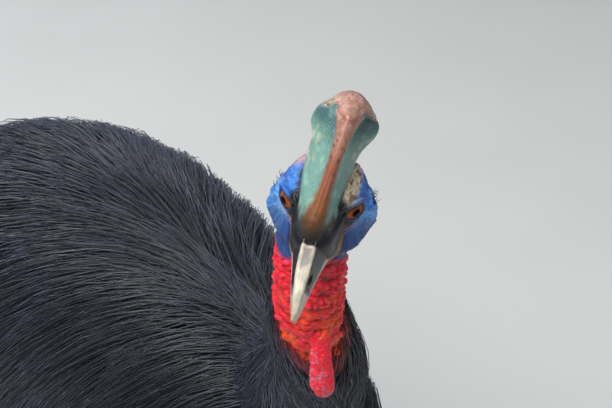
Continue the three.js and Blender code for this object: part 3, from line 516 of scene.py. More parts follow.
class Shader:
    """A material round one Principled shader, whose nodes are added by node()."""

    def __init__(self, name, **fixed):
        self.material = bpy.data.materials.new(name)
        self.material.use_nodes = True
        self.tree = self.material.node_tree
        self.surface = next(n for n in self.tree.nodes if n.type == "BSDF_PRINCIPLED")
        for socket, value in fixed.items():
            self.surface.inputs[socket.replace("_", " ").title().replace("Ior", "IOR")].default_value = value

    def node(self, kind, settings, inputs, output=0):
        """Adds any node: its settings first, and then the values or wires of its sockets."""
        made = self.tree.nodes.new(kind)
        for name, value in settings.items():
            setattr(made, name, value)
        for key, value in inputs.items():
            if isinstance(value, Wire):
                self.tree.links.new(value.socket, made.inputs[key])
            elif value is not None:
                made.inputs[key].default_value = value
        return Wire(self, made.outputs[output])

    def set(self, socket, wire):
        self.tree.links.new(wire.socket, self.surface.inputs[socket])

    def value(self, name):
        return self.node("ShaderNodeAttribute", {"attribute_name": name}, {}, "Fac")

    def colour(self, name):
        return self.node("ShaderNodeAttribute", {"attribute_name": name}, {}, "Color")

    def noise(self, scale, detail=2.0, where=None):
        """Smooth noise over where, or else over the piece in metres."""
        where = where or self.node("ShaderNodeTexCoord", {}, {}, "Object")
        return self.node("ShaderNodeTexNoise", {}, {"Vector": where, "Scale": scale, "Detail": detail})

    def edges(self, scale):
        """How far each place lies from the edges of random cells."""
        where = self.node("ShaderNodeTexCoord", {}, {}, "Object")
        distance = {"feature": "DISTANCE_TO_EDGE"}
        return self.node("ShaderNodeTexVoronoi", distance, {"Vector": where, "Scale": scale})

    def mix(self, share, a, b, blend="MIX"):
        """A colour between a and b by share."""
        a, b = ((*x, 1.0) if isinstance(x, tuple) and len(x) == 3 else x for x in (a, b))
        settings = {"data_type": "RGBA", "blend_type": blend}
        return self.node("ShaderNodeMix", settings, {0: share, 6: a, 7: b}, 2)

    def speckle(self, scale, detail, dark, light):
        """Two colours mixed by noise as the material's own. Returns the noise."""
        fleck = self.noise(scale, detail)
        self.set("Base Color", self.mix(fleck, dark, light))
        return fleck

    def mottle(self, scale, detail, share, greys, gloss):
        """The painted tint, multiplied by a share of noise between two greys, and gloss from it too."""
        fleck = self.noise(scale, detail)
        grey = self.mix(fleck, *((value, value, value) for value in greys))
        self.set("Base Color", self.mix(share, self.colour("tint"), grey, "MULTIPLY"))
        self.set("Roughness", gloss[0] + gloss[1] * fleck)
        return fleck

    def emboss(self, height, distance, strength):
        """Small bumps by a height from 0 to 1 that stands for a distance in metres."""
        bump = {"Height": height, "Distance": distance, "Strength": strength}
        self.set("Normal", self.node("ShaderNodeBump", {}, bump))


# Camera: it looks down on the head from in front and from the bird's right.
CAMERA_AZIMUTH = -42
CAMERA_ELEVATION = 35
CAMERA_AWAY = 1500
FOCAL_PIXELS = 1700
FRAME_WIDTH, FRAME_HEIGHT = 612, 408
HEAD_PIXEL = (321, 205)

azimuth, elevation = math.radians(CAMERA_AZIMUTH), math.radians(CAMERA_ELEVATION)
back = np.array([math.sin(azimuth) * math.cos(elevation), -math.cos(azimuth) * math.cos(elevation),
                 math.sin(elevation)])
right = np.array([math.cos(azimuth), math.sin(azimuth), 0])
up = np.cross(back, right)
per_pixel = CAMERA_AWAY / FOCAL_PIXELS
eye_point = (HEAD_AT + CAMERA_AWAY * back - right * (HEAD_PIXEL[0] - FRAME_WIDTH / 2) * per_pixel
             + up * (HEAD_PIXEL[1] - FRAME_HEIGHT / 2) * per_pixel)
camera_data = bpy.data.cameras.new("camera")
camera_data.sensor_fit = "HORIZONTAL"
camera_data.sensor_width = 36
camera_data.lens = 36 * FOCAL_PIXELS / FRAME_WIDTH
camera_data.clip_end = 100
camera = bpy.data.objects.new("camera", camera_data)
bpy.context.scene.collection.objects.link(camera)
turned = np.eye(4)
turned[:3, 0], turned[:3, 1], turned[:3, 2] = right, up, back
turned[:3, 3] = (eye_point + SHIFT) / 1000
camera.matrix_world = Matrix(turned.tolist())
bpy.context.scene.camera = camera

# Light: a big soft lamp over the bird's right shoulder, weaker ones on its left and behind, and a pale room.
LAMPS = [((-1.9, -0.6, 3.9), 2.2, 150, (1.0, 0.985, 0.96)), ((2.6, -2.2, 2.6), 1.6, 26, (0.9, 0.95, 1.0)),
         ((0.2, 2.9, 3.0), 2.0, 70, (0.92, 0.96, 1.0))]
LAMPS_AIM = Vector((0, -0.2, 0.9))
ROOM = (0.62, 0.64, 0.67, 1)
ROOM_STRENGTH = 0.4
for number, (place, size, power_watts, colour) in enumerate(LAMPS):
    data = bpy.data.lights.new(f"lamp_{number}", "AREA")
    data.shape = "DISK"
    data.size = size
    data.energy = power_watts
    data.color = colour
    lamp = bpy.data.objects.new(f"lamp_{number}", data)
    bpy.context.scene.collection.objects.link(lamp)
    lamp.location = place
    lamp.rotation_euler = (LAMPS_AIM - Vector(place)).to_track_quat("-Z", "Y").to_euler()
world = bpy.data.worlds.new("room")
world.use_nodes = True
world.node_tree.nodes["Background"].inputs["Color"].default_value = ROOM
world.node_tree.nodes["Background"].inputs["Strength"].default_value = ROOM_STRENGTH
bpy.context.scene.world = world
bpy.context.scene.view_settings.view_transform = "Standard"

# Floor: a wide pale sheet at the height of the soles.
FLOOR_HALF = 9.0
floor_shader = Shader("floor_pale", roughness=0.8)
floor_shader.speckle(3.0, 4.0, (0.60, 0.60, 0.59), (0.66, 0.66, 0.65))
floor_mesh = bpy.data.meshes.new("floor")
floor_corners = [(x * FLOOR_HALF, y * FLOOR_HALF, 0) for x, y in ((-1, -1), (1, -1), (1, 1), (-1, 1))]
floor_mesh.from_pydata(floor_corners, [], [(0, 1, 2, 3)])
floor_mesh.materials.append(floor_shader.material)
floor = bpy.data.objects.new("floor", floor_mesh)
bpy.context.scene.collection.objects.link(floor)


def neck_place(points):
    """Where points lie about the neck: v of the nearest place on its line, u round it, and how far off."""
    steps = np.linspace(0, 1, 241)
    line = along(NECK_LINE, steps)
    near = np.zeros(len(points), int)
    best = np.full(len(points), np.inf)
    for k, spot in enumerate(line):
        away = ((points - spot) ** 2).sum(1)
        closer = away < best
        near[closer] = k
        best[closer] = away[closer]
    v = steps[near]
    front, left = neck_axes(v)
    off = points - line[near]
    return v, np.arctan2((off * left).sum(1), (off * front).sum(1)) / (2 * np.pi), np.sqrt(best)


def wattle_point(u, v):
    """The wattle: rings round a line that hangs from the front of the neck. u = 0 is its front."""
    root = neck_point(NECK_BARE, np.array(WATTLE_AT[0]), np.array(WATTLE_AT[1]), -WATTLE_SUNK)
    front, left = level_axes(NECK_TURN)
    angle = 2 * np.pi * u
    share = along(WATTLE_SHAPE, v) * np.where(v > 1 - WATTLE_TIP, blunt(v, WATTLE_TIP), 1)
    out = WATTLE_OUT * np.sin(np.pi * np.minimum(v, 0.5)) + WATTLE_THICK / 2 * share * np.cos(angle)
    aside = WATTLE_WIDTH / 2 * share * np.sin(angle) + WATTLE_ASIDE * v
    return root + times(out, front) + times(aside, left) + times(-WATTLE_LENGTH * v, UPWARD)


def head_ratio(forward, left, up):
    """How far out of the skull a place is: 1 on its surface, less inside and more outside."""
    v = np.clip((forward - HEAD_BACK) / (HEAD_FRONT - HEAD_BACK), 0.001, 0.999)
    side = np.abs(left)
    for bump in HEAD_BUMPS:
        side = side - head_push(bump, forward, left, up)
    wide, high, across, upward = head_section(v, up > 0)
    return ((np.maximum(side, 0) / wide) ** (2 / across) + (np.abs(up) / high) ** (2 / upward)) ** 0.5


def blend(share, one, other):
    """Mixes rows of colours: other where share is 1 and one where it is 0."""
    share = np.atleast_1d(np.clip(share, 0, 1))[:, None]
    return np.asarray(one) * (1 - share) + np.asarray(other) * share


# Head, bare neck and wattle: one skin, wrinkled and painted by its place on the bird.
GAZE_TURN = 44
GAZE_UP = 0.12
EYE_OPENING = 46
BROW_DROP = 15
BROW_TURN = 80
LID_RISE = 1.2
LID_LEAST = 0.9
LID_HIDDEN = 2.2
LID_FOLD = 0.8
BROW_RISE = 3.2
SKIN_CELL = 1.15
NECK_DOME = 0.16
NECK_SHRINK = 30
NAPE_FROM = 0.84
NAPE_TO = (-50, 0, 2)
NAPE_RADIUS = 30
NAPE_BLUNT = 0.3
GAPE_FORWARD = [-6, 4.5, 24.6, 50]
GAPE_UP = [-17, -20, -24, -20]
GAPE_FOLD = 4.5
THROAT_AT = 0.835
THROAT_TILT = 0.022
THROAT_FRONT = 0.032
JAW_UNDER = -75
CHEEK_AT = (-12, -22)
CHEEK_SPREAD = 22
EAR_HOLE = (-24, -7)
EAR_ASIDE = 15
NECK_BULBS = 32
BULB_LONG, BULB_TALL = 9, 6.8
FOLD_TALL = 17


def gaze(side):
    """The direction an eye looks in, in the bird's frame."""
    turn = math.radians(GAZE_TURN)
    return unit(in_head(math.cos(turn), side * math.sin(turn), GAZE_UP) - HEAD_AT)


def eye_middle_of(side):
    """The middle of an eyeball: side is 1 for the left one and -1 for the right one."""
    return in_head(EYE_AT[0], side * EYE_AT[1], EYE_AT[2])


def eye_axes(side):
    """The gaze and two directions across it: one level towards the bill and one upward."""
    look = gaze(side)
    level = side * unit(np.cross(look, HEAD_AXES[:, 2]))
    return look, level, side * np.cross(level, look)


def opening(turn):
    """How far from the gaze the lids' edge lies, in degrees, at each turn round it from the bill upwards.

    The brow presses it flat above and towards the bill."""
    return EYE_OPENING - BROW_DROP * np.maximum(0, np.cos(turn - math.radians(BROW_TURN))) ** 2


def turn_round(off, side):
    """The turn round the gaze of directions from an eye's middle."""
    look, level, upright = eye_axes(side)
    return np.arctan2(off @ upright, off @ level)


def shape_head():
    """The fused skin, pressed into lids, folds, bulbs and fine creases along its outward directions.

    Bulbs are domes over random cells, and creases are grooves where two such cells meet. Returns the skin's
    points and triangles, and marks that tell for each point where it lies and what it belongs to."""
    def neck(u, v):
        """The bare neck, whose radius shrinks over a domed end inside the skull."""
        dome = 1 - blunt(np.maximum(v, 0.5), NECK_DOME)
        return neck_point(NECK_BARE, u, BARE_START + (1 - BARE_START) * v, -NECK_SHRINK * dome)

    def nape(u, v):
        """A round-ended tube from inside the top of the neck to the back of the skull."""
        low, high = along(NECK_LINE, np.array(NAPE_FROM)), in_head(*NAPE_TO)
        ahead = unit(high - low)
        across = unit(np.cross(ahead, HEAD_AXES[:, 0]))
        spoke = on_ring(0, 2 * np.pi * u, 1, across, np.cross(ahead, across))
        return low + times(v, high - low) + times(NAPE_RADIUS * blunt(v, NAPE_BLUNT), spoke)

    shapes = [skin(head_point, 120, 80), skin(neck, 96, 70, False), skin(nape, 64, 50)]
    points, triangles = fused("flesh", [*shapes, skin(wattle_point, 48, 50, False)], SKIN_CELL, 5)
    forward, left, up = head_place(points)
    v, u, away = neck_place(points)
    ratio = head_ratio(forward, left, up)
    front, aside = np.cos(2 * np.pi * u), np.sin(2 * np.pi * u)
    on_head = np.where((up < JAW_UNDER) | (v < 0.8), 0, 1 - smooth(ratio, 1.02, 1.14))
    drop = THROAT_FRONT * np.maximum(front, 0) * np.clip(1.5 * aside + 0.6, -1, 1)
    throat = v - THROAT_AT + THROAT_TILT * aside - drop + 0.011 * noise(points, 12, 2)
    on_head = np.maximum(on_head, smooth(throat, -0.006, 0.012))
    on_wattle = smooth(away - along(NECK_BARE, v), 2.5, 6) * (1 - on_head) * (v < 0.75)
    direction = normals(points, triangles)

    # Neck: rows of bulbs that slant round it, and long flat folds lower down.
    slant = v * 420 + 9 * np.sin(2 * np.pi * (u + 0.1)) + 7 * noise(points, 26, 4) + 2 * noise(points, 9, 6)
    around = u * 2 * np.pi * NECK_BULBS + 5 * noise(points, 15, 8)
    spread = np.stack([around / BULB_LONG, slant / BULB_TALL, 0 * u], 1)
    near, second = cells(spread, 1.0, 7)
    bulb = (1 - np.minimum(near / 0.7, 1) ** 2) * smooth(second - near, 0.0, 0.35)
    fold = np.abs(np.sin(np.pi * slant / FOLD_TALL)) ** 0.6
    low = 1 - smooth(v, 0.62, 0.78)
    on_neck = (1 - on_head) * (1 - on_wattle)
    rise = on_neck * (3.8 * bulb * (1 - 0.45 * low) + 2.4 * (fold - 0.5) * (0.5 + 0.7 * low) - 1
                      + 0.6 * noise(points, 5, 3))
    # Wattle: grains with fine cracks between them.
    grain, beside = cells(points, 3.4, 21)
    rise += on_wattle * (0.8 * smooth(beside - grain, 0.02, 0.35) + 0.8 * noise(points, 12, 9))
    ripple = points * np.array([0.3, 0.3, 1]) + 2 * noise(points, 9, 11)[:, None]
    rise += on_wattle * 0.5 * noise(ripple, 2.2, 12)
    # Head: creases that run back from the eye over the cheek, in two sizes.
    stretched = np.stack([forward * 0.7, left, up], 1) + 2.2 * noise(points, 7, 33)[:, None]
    one, two = cells(stretched, 4.8, 31)
    three, four = cells(stretched, 2.4, 41)
    cheek = on_head * (1 - smooth(forward, 22, 40))
    rise += cheek * (0.35 * smooth(two - one, 0, 0.4) + 0.35 * smooth(four - three, 0, 0.3) - 0.6
                     + 1.3 * noise(points, 15, 5) + 0.5 * noise(stretched, 4, 6))
    from_cheek = (forward - CHEEK_AT[0]) ** 2 + (up - CHEEK_AT[1]) ** 2
    rise -= 1.2 * left / 36 * on_head * np.exp(-from_cheek / CHEEK_SPREAD**2)
    # Ear: a small hole with a raised rim.
    from_ear = np.sqrt(((forward - EAR_HOLE[0]) / 1.3) ** 2 + (up - EAR_HOLE[1]) ** 2)
    ear = on_head * (np.abs(left) > EAR_ASIDE) * np.exp(-(from_ear / 4.2) ** 2)
    rise += on_head * (np.abs(left) > EAR_ASIDE) * 1.6 * np.exp(-((from_ear - 6.5) / 2) ** 2) - 3.2 * ear
    # Gape: three raised folds that run from under the eye to the edge of the bill.
    line = (up - np.interp(forward, GAPE_FORWARD, GAPE_UP) + 1.2 * noise(points, 14, 44)) / GAPE_FOLD
    gape = smooth(forward, -2, 6) * (1 - smooth(forward, 44, 54)) * on_head * (np.abs(left) > 9)
    gape_fold = gape * (np.exp(-(line / 0.24) ** 2) + 0.7 * np.exp(-((line + 1) / 0.2) ** 2)
                        + 0.6 * np.exp(-((line - 0.9) / 0.17) ** 2))
    rise += 1.5 * gape_fold
    # Crust: dry cracked skin beside the foot of the casque.
    crust = on_head * smooth(up, 8, 16) * smooth(np.abs(left), 18, 21) * (1 - smooth(np.abs(left), 29, 34))
    far_side = 0.75 * (1 - smooth(forward, -34, -20))
    crust = crust * (1 - smooth(forward, 2, 10)) * np.where(left > 0, 1, far_side)
    upright = np.stack([forward * 0.35, left, up * 0.4], 1) + 0.9 * noise(points, 4, 46)[:, None]
    flake, next_flake = cells(upright, 1.7, 47)
    crack = smooth(next_flake - flake, 0.02, 0.35)
    rise += crust * (crack + 0.8 * noise(upright, 2, 48))
    blotch = smooth(noise(upright, 2.6, 49), 0.15, 0.5)
    points, ring = pressed_lids(points + times(rise, direction))
    # Zero in the cheek's creases and one between them; the skin's colour uses it for painted shade in the
    # creases.
    crease = smooth(two - one, 0, 0.3) * 0.65 + smooth(four - three, 0, 0.25) * 0.35
    return points, triangles, SimpleNamespace(
        forward=forward, left=left, up=up, v=v, u=u, front=front, on_head=on_head, on_wattle=on_wattle,
        bulb=bulb, fold=fold, crease=crease, grain=smooth(beside - grain, 0.0, 0.3), ear=ear, line=line,
        gape_fold=gape_fold, crust=crust, crack=crack, blotch=blotch, ring=ring)


def pressed_lids(points):
    """Points eased to the lids' distance from each eyeball's middle, and how much each lies in the dark ring.

    Inside the opening the skin sinks into the ball. Outside it lies on the ball in folds, under a brow."""
    ring = np.zeros(len(points))
    hidden, lid = EYE_RADIUS - LID_HIDDEN, EYE_RADIUS + LID_RISE
    for side in (1, -1):
        centre = eye_middle_of(side)
        off = points - centre
        reach = np.linalg.norm(off, axis=1)
        off = unit(off)
        angle = np.degrees(np.arccos(np.clip(off @ gaze(side), -1, 1)))
        turn = turn_round(off, side)
        edge = opening(turn)
        folds = LID_FOLD * np.sin(np.radians((angle - edge) * 22)) * smooth(angle, edge + 4, edge + 10)
        brow = BROW_RISE * smooth(np.sin(turn), 0.1, 0.8) * smooth(angle, edge + 2, edge + 16)
        target = hidden + (lid - hidden) * smooth(angle, edge - 5, edge + 1) + folds + brow
        target = target + 0.10 * np.maximum(angle - edge, 0)
        hold = (1 - smooth(angle, edge + 14, edge + 46)) * (reach < 40)
        reach_now = reach + (target - reach) * hold
        reach_now = np.where(angle > edge + 1, np.maximum(reach_now, EYE_RADIUS + LID_LEAST), reach_now)
        points = centre + off * reach_now[:, None]
        ring = np.maximum(ring, (1 - smooth(np.abs(angle - edge - 2), 4, 11)) * (reach < 30))
    return points, ring


SKY = (0.045, 0.26, 0.80)
COBALT = (0.008, 0.045, 0.33)
DARK_COBALT = (0.004, 0.022, 0.13)
PALE_BLUE = (0.22, 0.50, 0.88)
LORE_BLACK = (0.003, 0.0035, 0.007)
FOLD_TAN = (0.46, 0.33, 0.20)
CRUST_CREAM = (0.68, 0.56, 0.40)
SALMON = (0.50, 0.19, 0.12)
CRUST_BROWN = (0.05, 0.025, 0.012)
CRIMSON = (0.72, 0.008, 0.022)
PINK_RED = (0.90, 0.030, 0.060)
GAP_SHADE_RED = (0.10, 0.001, 0.003)
ORANGE = (0.88, 0.085, 0.008)
WATTLE_BLUE = (0.35, 0.38, 0.62)
FEATHER_BLACK = (0.010, 0.008, 0.009)


def tint_head(points, m):
    """The colour of each point of the skin: blue head, black before the eyes, red and orange neck, with
    painted shade in the head's creases, in the ear hole and between the neck's bulbs.
    """
    outer = smooth(np.abs(m.left) - 0.25 * m.up, 30, 46)
    crown = smooth(m.up, 2, 16)
    blue = blend(np.maximum(outer, 0.75 * crown), COBALT, SKY)
    blue = blend(0.6 * outer * smooth(noise(points, 7, 51) + 0.4 * m.crease, -0.1, 0.8), blue, PALE_BLUE)
    blue = blend(0.5 * smooth(noise(points, 12, 52), 0.1, 0.7) * (1 - outer), blue, SKY)
    # Painted shade: the blue is darkened in the skin's creases, where shade falls.
    blue = blue * (0.45 + 0.55 * m.crease)[:, None]
    blue = blend(0.85 * (1 - smooth(m.up + 5 * noise(points, 14, 57), -40, -16)), blue, DARK_COBALT)
    before = m.forward - 0.45 * np.abs(m.left) + 0.15 * m.up + 2 * noise(points, 8, 53)
    lores = np.where(m.line > 0, smooth(before, -9, -3), smooth(before, -2, 7))
    blue = blend(lores, blue, LORE_BLACK)
    # Painted shade: the ear hole is painted black.
    blue = blend(1.5 * m.ear, blue, LORE_BLACK)
    seam = (1 - smooth(np.abs(m.left) + 2.5 * noise(points, 3, 56), 20.5, 25)) * smooth(m.up, 0, 10)
    blue = blend(0.9 * seam * (1 - m.crust), blue, LORE_BLACK)
    blue = blend(0.9 * m.ring, blue, LORE_BLACK)
    blue = blend(m.gape_fold * (0.8 + 0.3 * noise(points, 5, 54)), blue, FOLD_TAN)
    crust = blend(0.8 * m.blotch, blend(0.5 + 0.5 * m.crack, CRUST_BROWN, CRUST_CREAM), CRUST_BROWN)
    crust = blend(0.8 * (m.left < 0), crust, SALMON)
    blue = blend(m.crust * smooth(noise(points, 9, 55), -0.75, -0.2), blue, crust)
    red = blend(m.bulb, CRIMSON, PINK_RED)
    orange = smooth(1.2 * noise(points, 18, 61) + (0.69 - m.v) / 0.12, 0.1, 1.3) * smooth(m.front, -0.1, 0.5)
    red = blend(0.85 * orange, red, ORANGE)
    # Painted shade: a darker red in the gaps between the neck's bulbs and folds.
    red = blend((1 - smooth(m.bulb + 0.4 * m.fold, 0.02, 0.45)) * 0.85, red, GAP_SHADE_RED)
    edge = (m.v - collar(m.u)) / 0.02 + 0.8 * noise(points * np.array([1, 1, 0.25]), 4, 62)
    red = blend(1 - smooth(edge, -0.6, 0.7), red, FEATHER_BLACK)
    pale = smooth(noise(points, 8, 71) - 0.9 * np.sin(2 * np.pi * m.u) * 4 - 0.2, 0.1, 0.9)
    flesh = blend(0.6 * pale * smooth(noise(points, 5, 72), -0.2, 0.5), PINK_RED, WATTLE_BLUE)
    flesh = blend(1 - m.grain, blend(0.2, flesh, PINK_RED), CRIMSON)
    return blend(m.on_wattle, blend(m.on_head, red, blue), flesh)


head_points, head_triangles, head_marks = shape_head()
skin_shader = Shader("bare_skin", coat_weight=0.12, coat_roughness=0.25, specular_ior_level=0.35)
pores = skin_shader.mottle(900.0, 3.0, 0.25, (0.25, 1.6), (0.34, 0.22))
skin_shader.emboss(pores + 0.6 * skin_shader.noise(320.0, 2.0), 0.0006, 0.7)
flesh = build("head_and_neck_skin", head_points, head_triangles, skin_shader.material, "blue_skin")
paint(flesh, tint=tint_head(head_points, head_marks))
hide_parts("head", "neck_bare", "wattle")

# Eyes: a ball that swells in front, with an amber ring and a black pupil, and a thin roll round its opening.
IRIS_ANGLE = 47
PUPIL_ANGLE = 21
EYE_SWELL = 0.9
ROLL_ANGLE = 2.2
ROLL_OUT = 0.5
ROLL_HIGH = 0.75
LID_ROWS, LID_AROUND = 72, 10
IRIS_DEEP = (0.30, 0.055, 0.006)
IRIS_AMBER = (0.62, 0.20, 0.04)
RAY_BROWN = (0.10, 0.018, 0.002)
RIM_DARK = (0.012, 0.006, 0.004)
PUPIL_BLACK = (0.002, 0.002, 0.002)
LID_BLACK = (0.004, 0.005, 0.012)
LID_BLUE = (0.02, 0.03, 0.08)
eye_shader = Shader("eye_wet", roughness=0.1, coat_weight=0.08, coat_roughness=0.02, specular_ior_level=0.04)
off_gaze = eye_shader.value("off_gaze")
amber = eye_shader.mix(off_gaze.between(PUPIL_ANGLE, IRIS_ANGLE), IRIS_DEEP, IRIS_AMBER)
ray_place = eye_shader.node("ShaderNodeAttribute", {"attribute_name": "rays"}, {}, "Vector")
rays = eye_shader.noise(60.0, 3.0, ray_place)
amber = eye_shader.mix(rays * 0.6, amber, RAY_BROWN)
amber = eye_shader.mix(off_gaze.between(IRIS_ANGLE - 5, IRIS_ANGLE + 1), amber, RIM_DARK)
past_pupil = off_gaze.between(PUPIL_ANGLE - 1.5, PUPIL_ANGLE + 1.0)
eye_shader.set("Base Color", eye_shader.mix(past_pupil, PUPIL_BLACK, amber))
lid_shader = Shader("lid_edge", roughness=0.3)
lid_shader.speckle(700.0, 2.0, LID_BLACK, LID_BLUE)


def off_look(centre, axes, theta, phi, radius):
    """Places at a radius from a centre: theta away from the gaze and phi round it."""
    look, level, upright = axes
    across = times(np.sin(theta), times(np.cos(phi), level) + times(np.sin(phi), upright))
    return centre + times(radius, times(np.cos(theta), look) + across)


for side, name in SIDES:
    axes = eye_axes(side)
    centre = eye_middle_of(side)

    def ball(u, v):
        """A ball round the gaze: v runs from the pupil to the back, and the front swells by a low dome."""
        radius = EYE_RADIUS + EYE_SWELL * (1 - smooth(np.degrees(np.pi * v), 0, IRIS_ANGLE))
        return off_look(centre, axes, np.pi * v, 2 * np.pi * u, radius)

    points, triangles = skin(ball, 64, 48, False, 0.004, 0.996)
    eye = build(f"eyeball_{name}", points, triangles, eye_shader.material, "eye")
    off = unit(points - centre)
    angle = np.degrees(np.arccos(np.clip(off @ axes[0], -1, 1)))
    phi = turn_round(off, side)
    paint(eye, off_gaze=angle, rays=np.stack([np.cos(phi), np.sin(phi), angle / 400], 1))
    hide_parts(f"eye_{name}")

    def lid(u, v):
        """A thin roll along the edge of the eye's opening."""
        phi, turn = 2 * np.pi * v, 2 * np.pi * u
        theta = np.radians(opening(phi) + ROLL_ANGLE * np.cos(turn))
        return off_look(centre, axes, theta, phi, EYE_RADIUS + ROLL_OUT + ROLL_HIGH * np.sin(turn))

    steps_v, steps_u = np.arange(LID_ROWS) / LID_ROWS, np.arange(LID_AROUND) / LID_AROUND
    rim_v, rim_u = np.meshgrid(steps_v, steps_u, indexing="ij")
    points = lid(rim_u, rim_v).reshape(-1, 3)
    triangles = outward_triangles(points, grid_triangles(LID_ROWS, LID_AROUND, True))
    build(f"lid_{name}", points, triangles, lid_shader.material, "blue_skin")

# Casque: horn with growth lines on its flared flanks, a worn keel and cream knobs at its top corners.
KEEL_PINK = (0.34, 0.16, 0.115)
KEEL_ORANGE = (0.24, 0.062, 0.030)
KEEL_BROWN = (0.20, 0.060, 0.008)
KEEL_DARK = (0.055, 0.026, 0.005)
CERE_BLACK = (0.010, 0.008, 0.007)
MINT = (0.14, 0.29, 0.24)
PALE_MINT_HIGHLIGHT = (0.26, 0.50, 0.42)
TEAL = (0.06, 0.145, 0.15)
OLIVE = (0.22, 0.21, 0.07)
CREAM = (0.58, 0.50, 0.34)
FLANK_GREEN = (0.06, 0.16, 0.12)
GROOVE_GREEN = (0.015, 0.07, 0.08)
KEEL_SPOT = (0.06, 0.02, 0.012)
CAP_PALE = (0.56, 0.42, 0.35)
LINE_RISE = 0.6
KNOB_RISE = 5.0


def growth_lines(points, half, v):
    """Waves that follow the casque's growth over its flanks, close together, from -1 to 1."""
    return np.sin(2 * np.pi * (v * 34 + 2.5 * half + 0.6 * noise(points, 14, 91)))


def tint_casque(points, u, v):
    """The colour of each point of the casque, from its share u round a section and v up the casque."""
    half = halved(u)
    h = np.clip(v / CASQUE_SHOULDER, 0, 1)
    wobble = 0.5 * noise(points, 10, 81) + 0.3 * noise(points, 4, 82)
    flank = blend(smooth(h + 0.12 * wobble, 0.45, 0.8), MINT, TEAL)
    # Painted highlights: pale mint patches over the flanks, spread by noise.
    flank = blend(0.5 * smooth(noise(points, 7, 83), 0, 0.8), flank, PALE_MINT_HIGHLIGHT)
    flank = blend(0.55 * np.clip(u * 2 - 0.2, 0, 1) * (u < 0.5), flank, FLANK_GREEN)
    groove = smooth(-growth_lines(points, half, v), -0.1, 0.9) * smooth(h, 0.4, 0.7) * smooth(half, 0.3, 0.4)
    flank = blend(0.55 * (u < 0.5) * smooth(h, 0.55, 0.8) * smooth(half, 0.28, 0.4), flank, GROOVE_GREEN)
    flank = blend(0.8 * groove, flank, GROOVE_GREEN)
    flank = blend(smooth(half + 0.05 * wobble, 0.60, 0.68), flank, OLIVE)
    pink_foot = smooth(half, 0.52, 0.6) * (u > 0.5) * smooth(h, 0.1, 0.2) * (1 - smooth(h, 0.34, 0.44))
    flank = blend(pink_foot, flank, SALMON)
    crust = smooth(noise(points, 5, 84), 0.0, 0.35) * (1 - smooth(h, 0.4, 0.62))
    flank = blend(0.75 * crust * smooth(half + 0.08 * wobble, 0.40, 0.52), flank, CREAM)
    keel = blend(smooth(h + 0.04 * wobble, 0.05, 0.28), KEEL_DARK, KEEL_BROWN)
    keel = blend(smooth(h, 0.25, 0.5), keel, KEEL_ORANGE)
    keel = blend(smooth(h + 0.1 * wobble, 0.5, 0.8), keel, KEEL_PINK)
    keel = blend(0.5 * smooth(noise(points, 9, 88), -0.1, 0.6) * smooth(h, 0.75, 0.9), keel, KEEL_ORANGE)
    ridge = 1 - smooth(half + 0.03 * wobble, 0.17 + 0.1 * (h > 0.9), 0.27 + 0.1 * smooth(h, 0.8, 1))
    ridge = np.maximum(ridge, smooth(v + 0.03 * wobble, 0.84, 0.9))
    worn = smooth(noise(points, 2.6, 85), 0.2, 0.5) * np.exp(-((h - 0.66) / 0.14) ** 2)
    keel = blend(0.85 * worn, keel, KEEL_SPOT)
    scuff = smooth(noise(points, 5, 86) + 0.6 * noise(points, 1.8, 89), 0, 0.7)
    keel = blend(0.5 * scuff * smooth(h, 0.8, 1), keel, CAP_PALE)
    tint = blend(ridge, flank, keel)
    knob = np.exp(-((half - 0.6) / 0.1) ** 2 - ((v - 0.83) / 0.08) ** 2)
    tint = blend(1.4 * knob - 0.2, tint, CREAM)
    split, next_split = cells(points, 3.0, 87)
    tint = blend((1 - smooth(next_split - split, 0, 0.25)) * smooth(knob, 0.25, 0.5), tint, KEEL_SPOT)
    cere = 1 - smooth(v + 0.02 * wobble - 0.03 * (half < 0.3), 0.015, 0.075)
    return blend(cere * (1 - smooth(half, 0.3, 0.5)), tint, CERE_BLACK)


def casque_detail(u, v):
    """The casque, pushed out from its middle line by growth lines on its flares, knobs and a rough cap."""
    half = halved(u)
    h = np.clip(v / CASQUE_SHOULDER, 0, 1)
    base = casque_point(u, v)
    places = base.reshape(-1, 3)
    flare = np.exp(-((half - 0.5) / 0.16) ** 2) * smooth(h, 0.4, 0.7) * (1 - smooth(v, 0.84, 0.9))
    lines = growth_lines(places, half.ravel(), v.ravel()).reshape(u.shape)
    knob = np.exp(-((half - 0.6) / 0.09) ** 2 - ((v - 0.83) / 0.07) ** 2)
    middle = along(CASQUE_KEEL, h) * 0.5 + along(CASQUE_REAR, h) * 0.5
    core = in_head(middle, 0, along(CASQUE_KEEL_UP, h) * 0.5 + along(CASQUE_REAR_UP, h) * 0.5)
    rough = (0.6 * noise(places, 3.5, 92) + 1.1 * noise(places, 9, 93)).reshape(u.shape)
    rough = rough * smooth(v, 0.72, 0.86)
    return base + times(LINE_RISE * flare * lines + KNOB_RISE * knob + rough, unit(base - core))


horn_shader = Shader("casque_horn", coat_weight=0.18, coat_roughness=0.3)
horn_grain = horn_shader.mottle(260.0, 4.0, 0.4, (0.2, 1.7), (0.36, 0.28))
horn_shader.emboss(horn_grain + 0.5 * horn_shader.noise(900.0, 2.0), 0.0006, 0.6)
CASQUE_AROUND, CASQUE_ROWS = 220, 170
points, triangles = skin(casque_detail, CASQUE_AROUND, CASQUE_ROWS, False)
casque = build("casque_worn", points, triangles, horn_shader.material, "casque_horn")
paint(casque, tint=tint_casque(points, *corner_shares(CASQUE_AROUND, CASQUE_ROWS)))
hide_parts("casque")

# Bill: two halves with a pale ridge and edges, and a nostril in each flank of the upper one.
NOSTRIL_LONG, NOSTRIL_TALL = 10, 3.6
NOSTRIL_SLOPE = 0.18
NOSTRIL_DEEP = 3.2
CULMEN_START = 0.40


